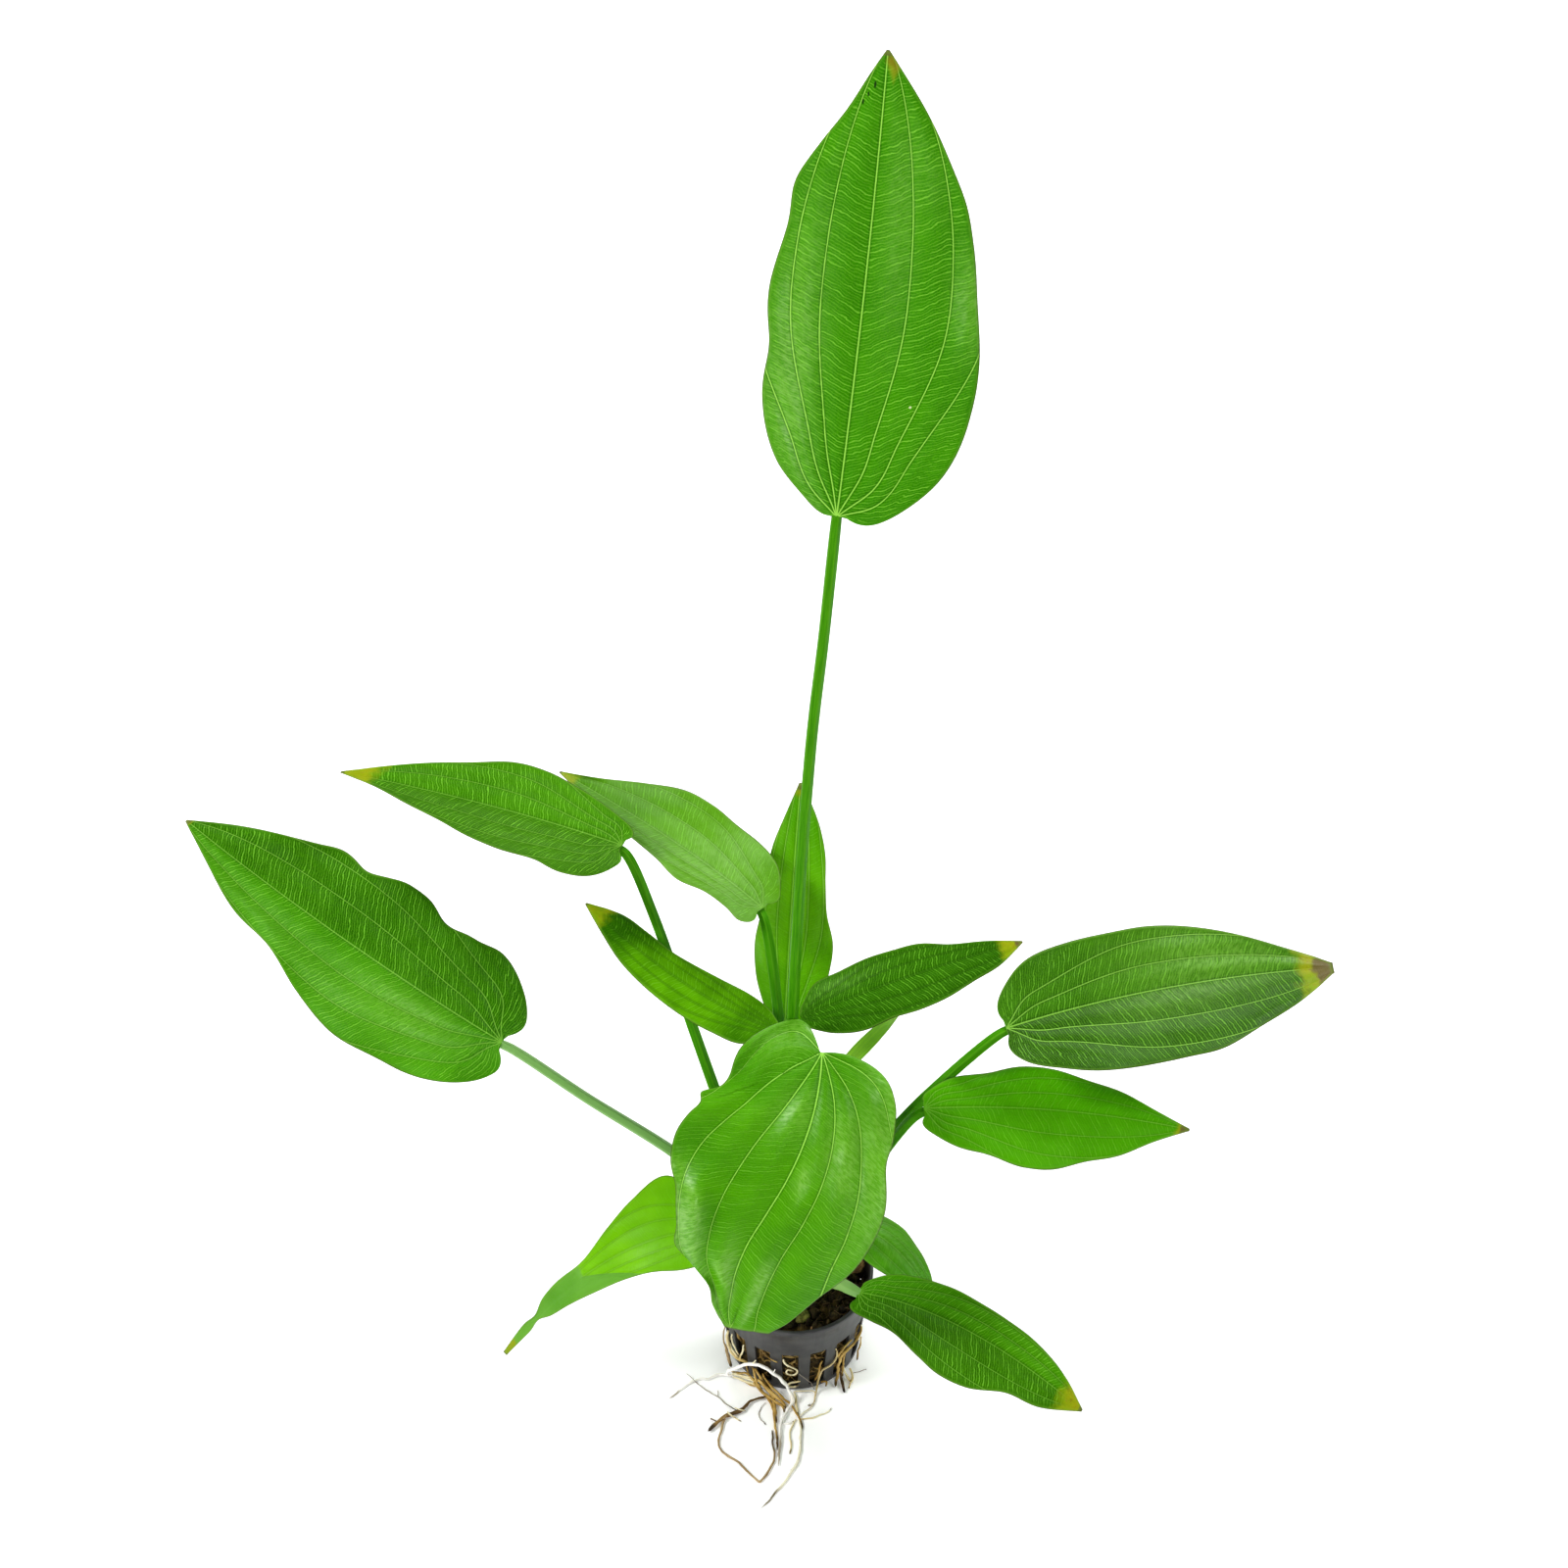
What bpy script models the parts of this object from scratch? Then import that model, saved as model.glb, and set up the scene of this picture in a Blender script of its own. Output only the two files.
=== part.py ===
"""An echinodorus plant in a slotted net pot, at its real size.

Origin at the middle of the pot's underside, +Z up, the photograph's side towards -Y.
Every size below is in millimetres and becomes metres where a mesh or curve is made.
"""

import math

import bmesh
import bpy
import numpy as np

MM = 0.001
GAP = 0.3

# Net pot
POT_HEIGHT = 39.0
POT_TOP_RADIUS = 26.3
POT_FOOT_RADIUS = 22.5
POT_WALL = 1.1
POT_FLOOR = 1.6
LIP_DEPTH = 2.4
LIP_PROUD = 0.8
SLOT_COUNT = 16
SLOT_WIDTH = 5.4
SLOT_LOW = 3.2
SLOT_HIGH = 23.5
SLOT_TURN = -93.0
POT_STEPS = 48

# Growing medium and crown
MEDIUM_TOP = 31.0
MEDIUM_HEAP = 35.0
MEDIUM_STEPS = 24
CROWN_RADIUS = 11.6
CROWN_TOP = 43.0
CROWN_STEPS = 18

# Leaves
BLADE_THICK = 0.8
BLADE_ROWS = 13
BLADE_COLUMNS = 4
BLADE_NECK = 1.5
BLADE_TIP = 0.4
SINUS = 2.5
LOBE_REACH = 0.15
LOBE_ROUND = 0.3
ROW_CROWDING = 1.6
WIDTH_STATIONS = (0, 0.04, 0.12, 0.25, 0.38, 0.5, 0.62, 0.75, 0.88, 1)
STALK_FOOT_RADIUS = 1.8
STALK_TOP_RADIUS = 1.3
STALK_JOIN = 1.5
STALK_LENGTHS = 7
OUTER_RING = 9.2
INNER_RING = 3.0

UP = (0, 0, 1)
TO_CAMERA = (0, -0.8, 0.6)

# Each leaf: foot, middle and tip of its midrib; face, the way its upper side looks from foot to tip;
# left and right, its half widths at the stations between foot and tip; cup, how far the margins rise
# for each millimetre of half width; lobes, how far each half reaches back past the foot; and the
# stalk's place on the crown as (ring radius, azimuth in degrees), then the points it passes on its way up.
LEAVES = {
    "tall": {
        "foot": (11, 36, 334), "middle": (16, 58, 393), "tip": (23, 74, 455),
        "face": (TO_CAMERA, TO_CAMERA), "cup": 0.06, "lobes": (5, 8),
        "left": (8, 18, 23, 23, 23, 20, 17, 9.5),
        "right": (17, 27.5, 33, 33.5, 31.5, 28.5, 21.5, 12.5),
        "crown": (INNER_RING, 90), "stalk": ((0, 7, 150), (3.6, 16, 265), (7, 24, 301)),
    },
    "far_left": {
        "foot": (-93, 22, 129), "middle": (-145, 45, 155), "tip": (-193, 70, 181),
        "face": ((0, -0.1, 1), (0, -0.1, 1)), "cup": 0.1, "lobes": (5, 5),
        "left": (19, 27, 30, 30.5, 25.5, 18, 15, 7.5),
        "right": (18.5, 26, 24, 28, 25, 23.5, 18, 10),
        "crown": (OUTER_RING, 180), "stalk": ((-22, 3, 76), (-40, 6, 94.5), (-66, 14, 110.5)),
    },
    "upper_left": {
        "foot": (-54, 57, 183), "middle": (-98, 78, 180), "tip": (-148, 100, 173),
        "face": (UP, UP), "cup": 0.1, "lobes": (4, 4),
        "left": (17, 20, 18, 18, 16, 12, 8, 3.5),
        "right": (8, 12, 16, 19, 19, 15.5, 11.5, 6),
        "crown": (OUTER_RING, 154), "stalk": ((-26, 26, 101), (-33.5, 36, 123), (-44.5, 50, 157)),
    },
    "middle_left": {
        "foot": (-10, 45, 167), "middle": (-38, 69, 172), "tip": (-76, 95, 178),
        "face": (UP, UP), "cup": 0.1, "lobes": (3, 3),
        "left": (9.5, 9, 9.5, 12, 10, 8.5, 7, 4),
        "right": (9, 15, 17.5, 18, 19, 18, 12.5, 5.5),
        "crown": (OUTER_RING, 129), "stalk": ((-4.5, 16, 100), (-5, 25, 137)),
    },
    "inner_left": {
        "foot": (-6, 11, 148), "middle": (-36, 29, 151), "tip": (-66, 50, 164),
        "face": (UP, UP), "cup": -0.25, "lobes": (1, 1),
        "left": (5, 9, 10, 10.5, 10, 9, 7, 3.5),
        "right": (5, 9, 11, 10.5, 9.5, 8.5, 8.5, 7),
        "crown": (INNER_RING, 210), "stalk": ((-9, 7, 90), (-9, 9, 125)),
    },
    "upright_behind": {
        "foot": (-3, 35, 123), "middle": (-1, 58.5, 151.5), "tip": (2, 84, 184),
        "face": (TO_CAMERA, TO_CAMERA), "cup": 0.1, "lobes": (2, 2),
        "left": (5, 8, 10.5, 11, 9.5, 8.5, 7.5, 4),
        "right": (6, 10.5, 13.5, 14, 11.5, 10.5, 9.5, 6),
        "crown": (OUTER_RING, 104), "stalk": ((0, 19, 82), (-2, 28, 109)),
    },
    "inner_right": {
        "foot": (2, 15, 149), "middle": (35, 26, 156), "tip": (72, 40, 157),
        "face": (UP, UP), "cup": -0.1, "lobes": (2, 2),
        "left": (5, 11.5, 12.5, 13.5, 13, 12, 7.5, 4.5),
        "right": (5, 10, 13, 12.5, 13, 12, 9, 6),
        "crown": (OUTER_RING, 78), "stalk": ((5, 11, 95), (4, 13, 130)),
    },
    "big_right": {
        "foot": (65, 5, 156), "middle": (115, 18, 160), "tip": (169, 30, 156),
        "face": ((0, -0.4, 0.9), (0, -0.4, 0.9)), "cup": 0.1, "lobes": (5, 5),
        "left": (12, 18.5, 20.5, 20.5, 20, 17.5, 13, 7),
        "right": (12.5, 17.5, 22, 23.5, 23.5, 22.5, 17, 10.5),
        "crown": (OUTER_RING, 26), "stalk": ((19, 1, 86), (32, 1, 112), (43, 3, 128)),
    },
    "lower_right": {
        "foot": (40, -8, 133), "middle": (81, -7, 131), "tip": (123, -10, 125),
        "face": ((0, -0.3, 0.95), (0, -0.3, 0.95)), "cup": 0.0, "lobes": (4, 4),
        "left": (6, 10, 11.5, 14, 13.5, 11, 8.5, 4),
        "right": (8, 13, 16, 19.5, 19.5, 16, 12.5, 6),
        "crown": (OUTER_RING, -26), "stalk": ((18, -6, 82), (32, -7, 118)),
    },
    "young": {
        "foot": (11.5, 9, 125.5), "middle": (23, 19, 132), "tip": (34.5, 31, 135),
        "face": ((0, -0.2, 1), (0, -0.2, 1)), "cup": 0.1, "lobes": (0, 0),
        "left": (2, 3, 4, 4.5, 4.5, 4, 3, 1.7),
        "right": (2, 3, 4.5, 5, 5, 4, 3, 1.7),
        "crown": (OUTER_RING, 52), "stalk": ((9.5, 6, 75), (11, 7, 105)),
    },
    "front": {
        "foot": (7.5, -5, 157), "middle": (-4, -38, 134), "tip": (-20, -50, 76),
        "face": ((0, -0.3, 0.95), (0, -0.6, 0.8), (0, -0.95, 0.3)), "cup": -0.08, "lobes": (5, 13),
        "left": (18, 25, 28, 29.5, 32, 31, 28, 22),
        "right": (17, 23.5, 28.5, 34, 35, 31, 26, 14),
        "crown": (OUTER_RING, -80), "stalk": ((4, -9, 90), (7, -7, 138)),
    },
    "low_left": {
        "foot": (-20, -6, 67), "middle": (-58.5, -10.5, 59.5), "tip": (-97, -18, 15),
        "face": (
            (-0.1, -0.35, 0.93), (-0.1, -0.35, 0.93), (-0.2, -0.4, 0.9), (-0.6, -0.5, 0.6),
            (-0.3, -0.7, 0.6),
        ),
        "cup": 0.05, "lobes": (3, 3),
        "left": (7, 11, 13, 12.5, 10, 6, 3, 2),
        "right": (5, 9.5, 18, 15, 10, 5.5, 4, 1.5),
        "crown": (OUTER_RING, 206), "stalk": ((-11.5, -5, 56),),
    },
    "low_right": {
        "foot": (21, -18, 50), "middle": (55, -38, 58), "tip": (92, -58, 42),
        "face": ((0.1, -0.3, 0.95), (0.1, -0.3, 0.95)), "cup": -0.05, "lobes": (4, 4),
        "left": (5, 9, 10.5, 11, 10.5, 10, 9, 6),
        "right": (7, 9, 11, 15, 17.5, 16.5, 11, 8),
        "crown": (OUTER_RING, -52), "stalk": ((10, -12, 49), (16, -15, 50)),
    },
    "low_right_behind": {
        "foot": (17, 4, 58), "middle": (32.5, -3.5, 55.5), "tip": (46, -16.5, 43.5),
        "face": ((0.2, -0.2, 0.95), (0.4, -0.3, 0.85)), "cup": -0.1, "lobes": (0, 0),
        "left": (4, 6.5, 7.5, 8, 8, 7, 6, 4),
        "right": (3, 6, 9, 10, 10, 9, 7, 4),
        "crown": (OUTER_RING, 0), "stalk": ((12, 0, 50), (13.7, 1.8, 54.5)),
    },
}

# Each root: its radius at the start and at the tip, then the points that it passes.
ROOTS = {
    "root_white": (0.85, 0.6, (
        (-16.4, -14.8, 6), (-19.6, -17.4, 6), (-17.6, -20.8, 9), (-13.5, -22.6, 12.5),
        (-9.5, -24.4, 12.7), (-5, -25.6, 8), (-1.6, -26.2, 2), (-0.3, -29, 1), (-2, -32.5, 1),
        (-4.5, -35.8, 1), (-8.2, -39.5, 1), (-8.3, -44, 1), (-7.4, -47.5, 1), (-7, -50, 1),
    )),
    "root_golden": (0.9, 0.5, (
        (-9.6, -19.8, 8), (-11.1, -23, 7), (-11.8, -24.9, 2.2), (-9.6, -26.6, 1.1), (-7.6, -30, 1),
        (-8.2, -34, 0.9),
    )),
    "root_brown": (0.85, 0.6, (
        (-12.4, -27.4, 1), (-16.5, -30.4, 1), (-20, -32.4, 1), (-23.3, -34.2, 1), (-28.5, -39.5, 1),
    )),
    "root_loop": (0.6, 0.5, (
        (-24.8, -38, 0.8), (-25.6, -43, 0.8), (-24, -47.5, 0.8), (-18.6, -51, 0.8),
        (-14.3, -55.5, 0.8), (-11, -59.5, 0.8), (-8.8, -56.5, 0.8), (-7.4, -53.4, 0.8),
    )),
    "root_long": (0.7, 0.35, (
        (16, -18.3, 22), (14, -22.6, 18), (9.8, -24.6, 13), (7.8, -24.8, 6), (7.3, -26.4, 1.2),
        (6, -29.6, 0.8), (2.6, -33.5, 0.8), (2.6, -38.8, 0.7), (1.9, -46.7, 0.7), (0.6, -52, 0.6),
        (-2, -58.3, 0.6), (-5.2, -62.3, 0.5), (-10.7, -69.3, 0.5),
    )),
    "root_side": (0.45, 0.35, ((4.6, -34.3, 0.6), (7.6, -33, 0.6), (11.8, -31.5, 0.6))),
    "root_left": (0.6, 0.4, (
        (-20.9, -7.4, 6), (-23.7, -9.6, 5.6), (-25, -14, 1.6), (-27.5, -18.3, 0.8), (-31.5, -18.7, 0.7),
        (-36.2, -20.7, 0.6), (-39.4, -24.2, 0.6),
    )),
    "root_left_wall": (0.6, 0.4, ((-22.4, -7.9, 18), (-25.6, -9.4, 13), (-25.4, -10, 7), (-25.6, -12, 3.4))),
    "root_right_wall": (0.6, 0.4, (
        (21.7, -10.3, 20), (23.2, -14, 19), (20.5, -18, 11), (19, -18.6, 4), (19.6, -20.5, 0.9),
    )),
}
ROOT_LENGTHS = 3


def unit(vectors):
    return vectors / np.linalg.norm(vectors, axis=-1, keepdims=True)


def ease(at, stations, values):
    """A smooth line through the values at the stations, read at each number in at."""
    x = np.asarray(stations, float)
    y = np.asarray(values, float)
    step = np.diff(x)
    rise = np.diff(y) / step
    slope = np.empty_like(y)
    slope[1:-1] = (rise[:-1] * step[1:] + rise[1:] * step[:-1]) / (step[:-1] + step[1:])
    slope[0] = 1.5 * rise[0] - 0.5 * slope[1]
    slope[-1] = 1.5 * rise[-1] - 0.5 * slope[-2]
    i = np.clip(np.searchsorted(x, at, side="right") - 1, 0, len(step) - 1)
    s = (at - x[i]) / step[i]
    start = y[i] * (1 + 2 * s) * (1 - s) ** 2 + slope[i] * step[i] * s * (1 - s) ** 2
    end = y[i + 1] * s**2 * (3 - 2 * s) + slope[i + 1] * step[i] * s**2 * (s - 1)
    return start + end


def path_through(points, lengths):
    """Points along a smooth curve through the given ones, each span cut into equal lengths."""
    points = np.asarray(points, float)
    reach = np.linalg.norm(np.diff(points, axis=0), axis=1)
    knots = np.concatenate([[0], np.cumsum(np.sqrt(reach))])
    at = np.interp(np.linspace(0, len(points) - 1, lengths + 1), np.arange(len(points)), knots)
    return np.stack([ease(at, knots, points[:, k]) for k in range(3)], axis=-1)


def midrib(leaf, t):
    """Where the midrib is and which way it runs, on one arc through foot, middle and tip."""
    foot, middle, tip = (np.asarray(leaf[key], float) for key in ("foot", "middle", "tip"))
    bend = 2 * middle - (foot + tip) / 2
    t = t[..., None]
    place = foot * (1 - t) ** 2 + bend * 2 * t * (1 - t) + tip * t**2
    along = unit((bend - foot) * (1 - t) + (tip - bend) * t)
    return place, along


def blade_grid(leaf):
    """Points of the blade's middle surface, one row for each step from foot to tip."""
    rows = np.linspace(0, 1, BLADE_ROWS + 1) ** ROW_CROWDING
    t, u = np.meshgrid(rows, np.linspace(-1, 1, BLADE_COLUMNS + 1), indexing="ij")
    place, along = midrib(leaf, t)
    turns = np.linspace(0, 1, len(leaf["face"]))
    face = np.stack([np.interp(t, turns, [way[k] for way in leaf["face"]]) for k in range(3)], -1)
    up = unit(face - (face * along).sum(-1, keepdims=True) * along)
    side = np.cross(along, up)
    stations = np.sqrt(WIDTH_STATIONS)
    left = ease(np.sqrt(t), stations, (BLADE_NECK, *leaf["left"], BLADE_TIP))
    right = ease(np.sqrt(t), stations, (BLADE_NECK, *leaf["right"], BLADE_TIP))
    half = np.where(u < 0, left, right)
    out = half * np.abs(u)
    lift = leaf["cup"] * half * np.abs(u) ** 1.4
    share = np.clip((out - SINUS) / (LOBE_ROUND * max(leaf["left"] + leaf["right"])), 0, 1)
    lobe = np.where(u < 0, *leaf["lobes"])
    back = lobe * share * (2 - share) * np.clip(1 - t / LOBE_REACH, 0, 1) ** 2
    return place + side * (half * u)[..., None] + up * lift[..., None] - along * back[..., None]


def crown_point(ring, azimuth):
    """The foot of a stalk on the crown's flat top."""
    turn = math.radians(azimuth)
    return (ring * math.cos(turn), ring * math.sin(turn), CROWN_TOP + GAP)


def wall_radius(height):
    """Outer radius of the pot's wall at a height, without its lip."""
    return POT_FOOT_RADIUS + (POT_TOP_RADIUS - POT_FOOT_RADIUS) * height / POT_HEIGHT


def make_material(name, colour, roughness):
    material = bpy.data.materials.new(name)
    material.use_nodes = True
    shader = material.node_tree.nodes["Principled BSDF"]
    shader.inputs["Base Color"].default_value = (*colour, 1)
    shader.inputs["Roughness"].default_value = roughness
    shader.inputs["Metallic"].default_value = 0
    return material


def add_object(name, data, collection, material=None):
    thing = bpy.data.objects.new(name, data)
    collection.objects.link(thing)
    if material:
        data.materials.append(material)
    return thing


def turned(name, profile, steps, collection, material):
    """A profile of (radius, height) pairs, its outer side running down, turned round the Z axis."""
    mesh = bpy.data.meshes.new(name)
    points = [(radius * MM, 0, height * MM) for radius, height in profile]
    mesh.from_pydata(points, [(i, i + 1) for i in range(len(points) - 1)], [])
    thing = add_object(name, mesh, collection, material)
    screw = thing.modifiers.new("Turn", "SCREW")
    screw.axis = "Z"
    screw.steps = steps
    screw.render_steps = steps
    screw.use_merge_vertices = True
    screw.merge_threshold = 0.00001
    screw.use_smooth_shade = True
    return thing


def tube(name, points, radii, collection, material):
    """A round stalk or root along the points, each with its own radius."""
    curve = bpy.data.curves.new(name, "CURVE")
    curve.dimensions = "3D"
    curve.bevel_depth = MM
    curve.bevel_resolution = 2
    curve.use_fill_caps = True
    spline = curve.splines.new("POLY")
    spline.points.add(len(points) - 1)
    for point, place, radius in zip(spline.points, points, radii):
        point.co = (*(float(value) * MM for value in place), 1)
        point.radius = float(radius)
    spline.use_smooth = True
    return add_object(name, curve, collection, material)


def make_pot(collection, cutters, material):
    lip = POT_TOP_RADIUS + LIP_PROUD
    inner_foot = wall_radius(POT_FLOOR) - POT_WALL
    inner_top = POT_TOP_RADIUS - POT_WALL
    profile = (
        (0, POT_FLOOR), (inner_foot, POT_FLOOR), (inner_top, POT_HEIGHT - 0.5),
        (inner_top + 0.5, POT_HEIGHT), (lip - 0.5, POT_HEIGHT), (lip, POT_HEIGHT - 0.5),
        (lip, POT_HEIGHT - LIP_DEPTH), (wall_radius(POT_HEIGHT - LIP_DEPTH), POT_HEIGHT - LIP_DEPTH - 0.3),
        (wall_radius(1), 1), (POT_FOOT_RADIUS - 0.7, 0), (0, 0),
    )
    pot = turned("net_pot", profile, POT_STEPS, collection, material)
    cutter = add_object("slot_cutter", slot_mesh(), cutters)
    cutter.hide_render = True
    cutter.display_type = "WIRE"
    cut = pot.modifiers.new("Slots", "BOOLEAN")
    cut.operation = "DIFFERENCE"
    cut.solver = "EXACT"
    cut.object = cutter
    return pot


def slot_mesh():
    """One upright block for each slot, standing through the wall."""
    mesh = bpy.data.meshes.new("slot_cutter")
    work = bmesh.new()
    inner = POT_FOOT_RADIUS - POT_WALL - 2.5
    outer = POT_TOP_RADIUS + 3
    for i in range(SLOT_COUNT):
        turn = math.radians(SLOT_TURN + 360 * i / SLOT_COUNT)
        block = bmesh.ops.create_cube(work, size=1)["verts"]
        for vertex in block:
            reach = inner + (vertex.co.x + 0.5) * (outer - inner)
            across = vertex.co.y * SLOT_WIDTH
            height = SLOT_LOW + (vertex.co.z + 0.5) * (SLOT_HIGH - SLOT_LOW)
            vertex.co = (
                (reach * math.cos(turn) - across * math.sin(turn)) * MM,
                (reach * math.sin(turn) + across * math.cos(turn)) * MM,
                height * MM,
            )
    work.to_mesh(mesh)
    work.free()
    return mesh


def make_medium(collection, material):
    foot = wall_radius(POT_FLOOR) - POT_WALL - GAP
    top = wall_radius(MEDIUM_TOP) - POT_WALL - GAP
    profile = (
        (0, MEDIUM_HEAP), (CROWN_RADIUS, MEDIUM_HEAP), (top - 4, MEDIUM_TOP + 1.5), (top - 0.6, MEDIUM_TOP),
        (top - 0.1, MEDIUM_TOP - 1.5), (foot, POT_FLOOR + GAP), (0, POT_FLOOR + GAP),
    )
    return turned("growing_medium", profile, MEDIUM_STEPS, collection, material)


def make_crown(collection, material):
    foot = MEDIUM_HEAP + GAP
    profile = (
        (0, CROWN_TOP), (CROWN_RADIUS - 0.4, CROWN_TOP), (CROWN_RADIUS, CROWN_TOP - 1),
        (CROWN_RADIUS - 0.6, foot + 3), (CROWN_RADIUS - 2, foot), (0, foot),
    )
    return turned("crown", profile, CROWN_STEPS, collection, material)


def make_blade(name, leaf, collection, material):
    grid = blade_grid(leaf)
    rows, columns = grid.shape[:2]
    faces = [
        (r * columns + c, r * columns + c + 1, (r + 1) * columns + c + 1, (r + 1) * columns + c)
        for r in range(rows - 1)
        for c in range(columns - 1)
    ]
    mesh = bpy.data.meshes.new("leaf_" + name)
    mesh.from_pydata((grid.reshape(-1, 3) * MM).tolist(), [], faces)
    mesh.shade_smooth()
    blade = add_object("leaf_" + name, mesh, collection, material)
    solid = blade.modifiers.new("Thickness", "SOLIDIFY")
    solid.thickness = BLADE_THICK * MM
    solid.offset = 0
    return blade


def make_stalk(name, leaf, collection, material):
    """A stalk from the crown's top to just short of its blade's foot, thinner on the way."""
    foot = np.asarray(leaf["foot"], float)
    last = np.asarray(leaf["stalk"][-1], float)
    end = foot + unit(last - foot) * STALK_JOIN
    base = np.asarray(crown_point(*leaf["crown"]))
    rise = path_through([base + (0, 0, 2.5), *leaf["stalk"], end], STALK_LENGTHS + len(leaf["stalk"]))
    points = np.vstack([base, rise])
    radii = np.linspace(STALK_FOOT_RADIUS, STALK_TOP_RADIUS, len(points))
    return tube("stalk_" + name, points, radii, collection, material)


def make_root(name, root, collection, material):
    start, tip, route = root
    points = path_through(route, min(2 * (len(route) - 1), len(route) + ROOT_LENGTHS))
    return tube(name, points, np.linspace(start, tip, len(points)), collection, material)


def build():
    for thing in list(bpy.data.objects):
        bpy.data.objects.remove(thing, do_unlink=True)
    plant = bpy.data.collections.new("echinodorus_plant")
    cutters = bpy.data.collections.new("cutters")
    for collection in (plant, cutters):
        bpy.context.scene.collection.children.link(collection)
    leaf_green = make_material("leaf_green", (0.10, 0.38, 0.02), 0.35)
    stalk_green = make_material("stalk_green", (0.12, 0.33, 0.05), 0.4)
    root_cream = make_material("root_cream", (0.72, 0.60, 0.38), 0.6)
    make_pot(plant, cutters, make_material("pot_plastic", (0.03, 0.03, 0.032), 0.45))
    make_medium(plant, make_material("medium_brown", (0.16, 0.10, 0.03), 0.9))
    make_crown(plant, make_material("crown_olive", (0.20, 0.19, 0.06), 0.7))
    for name, leaf in LEAVES.items():
        make_stalk(name, leaf, plant, stalk_green)
        make_blade(name, leaf, plant, leaf_green)
    for name, root in ROOTS.items():
        make_root(name, root, plant, root_cream)


build()
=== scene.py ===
import math

import bpy
import numpy as np
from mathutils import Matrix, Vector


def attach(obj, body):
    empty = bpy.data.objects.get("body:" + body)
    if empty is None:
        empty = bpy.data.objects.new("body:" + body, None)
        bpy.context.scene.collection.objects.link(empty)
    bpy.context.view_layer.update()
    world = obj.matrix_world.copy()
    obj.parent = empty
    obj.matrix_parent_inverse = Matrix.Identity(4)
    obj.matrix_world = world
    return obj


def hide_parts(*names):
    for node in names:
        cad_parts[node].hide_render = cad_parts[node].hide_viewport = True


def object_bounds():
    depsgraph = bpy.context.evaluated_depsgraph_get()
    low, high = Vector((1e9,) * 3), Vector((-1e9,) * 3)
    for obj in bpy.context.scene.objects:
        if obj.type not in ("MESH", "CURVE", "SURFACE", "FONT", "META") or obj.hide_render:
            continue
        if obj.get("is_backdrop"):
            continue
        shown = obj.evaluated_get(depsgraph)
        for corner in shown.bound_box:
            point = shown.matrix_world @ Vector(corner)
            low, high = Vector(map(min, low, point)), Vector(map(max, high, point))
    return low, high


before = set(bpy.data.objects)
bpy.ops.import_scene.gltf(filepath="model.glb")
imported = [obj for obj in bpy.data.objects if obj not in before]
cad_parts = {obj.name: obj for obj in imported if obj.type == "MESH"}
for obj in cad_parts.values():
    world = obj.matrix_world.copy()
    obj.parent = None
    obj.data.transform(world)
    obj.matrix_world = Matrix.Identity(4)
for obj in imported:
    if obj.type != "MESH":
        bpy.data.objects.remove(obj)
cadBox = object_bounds()
print("frame loaded, nodes:", len(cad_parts))

mm = 0.001  # every size below is in millimetres
fullTurn = 2 * math.pi
up = (0, 0, 1)
toViewer = (0, -0.8, 0.6)
chance = np.random.default_rng(7)
camera = {"place": (-3.3, -582.5, 847.6), "pitch": 44.9, "lens": 67.5, "sensor": 36}


# Arrays and meshes

def unit(vectors):
    return vectors / np.maximum(np.linalg.norm(vectors, axis=-1, keepdims=True), 1e-12)


def smooth(low, high, x):
    s = np.clip((x - low) / (high - low), 0, 1)
    return s * s * (3 - 2 * s)


def bell(x):
    return np.exp(-(x**2))


def around(count):
    return np.linspace(0, fullTurn, count, endpoint=False)


def polar(reach, turn, height):
    # points at a reach from the upright axis, a turn about it and a height
    return np.stack(np.broadcast_arrays(reach * np.cos(turn), reach * np.sin(turn), height), -1)


def along(path):
    # length of the way from the path's start to each of its points
    return np.concatenate([[0], np.cumsum(np.linalg.norm(np.diff(path, axis=0), axis=1))])


def ease(at, stations, values):
    # cubic pieces through the values at the stations, with the slope of a parabola at each station
    x = np.asarray(stations, float)
    y = np.asarray(values, float)
    step = np.diff(x)
    rise = np.diff(y) / step
    slope = np.empty_like(y)
    slope[1:-1] = (rise[:-1] * step[1:] + rise[1:] * step[:-1]) / (step[:-1] + step[1:])
    slope[0] = 1.5 * rise[0] - 0.5 * slope[1]
    slope[-1] = 1.5 * rise[-1] - 0.5 * slope[-2]
    i = np.clip(np.searchsorted(x, at, side="right") - 1, 0, len(step) - 1)
    s = (at - x[i]) / step[i]
    start = y[i] * (1 + 2 * s) * (1 - s) ** 2 + slope[i] * step[i] * s * (1 - s) ** 2
    end = y[i + 1] * s**2 * (3 - 2 * s) + slope[i + 1] * step[i] * s**2 * (s - 1)
    return start + end


def pathThrough(points, lengths):
    # ease() through the points on knots that grow by the square root of each chord; a fourth column
    # rides along
    points = np.asarray(points, float)
    reach = np.linalg.norm(np.diff(points[:, :3], axis=0), axis=1)
    knots = np.concatenate([[0], np.cumsum(np.sqrt(reach))])
    at = np.interp(np.linspace(0, len(points) - 1, lengths + 1), np.arange(len(points)), knots)
    return np.stack([ease(at, knots, column) for column in points.T], axis=-1)


def ripple(points, size, seed, layers=5):
    # a lumpy field between about -1 and 1: sines in turned directions, summed and halved layer by layer
    source = np.random.default_rng(seed)
    total = np.zeros(np.shape(points)[:-1])
    for layer in range(layers):
        ways = unit(source.normal(size=(4, 3))) * (fullTurn / size) * 1.7**layer
        phases = source.uniform(0, fullTurn, 4)
        total = total + np.sin(points @ ways.T + phases).sum(-1) * 0.36 * 0.62**layer
    return total


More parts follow.
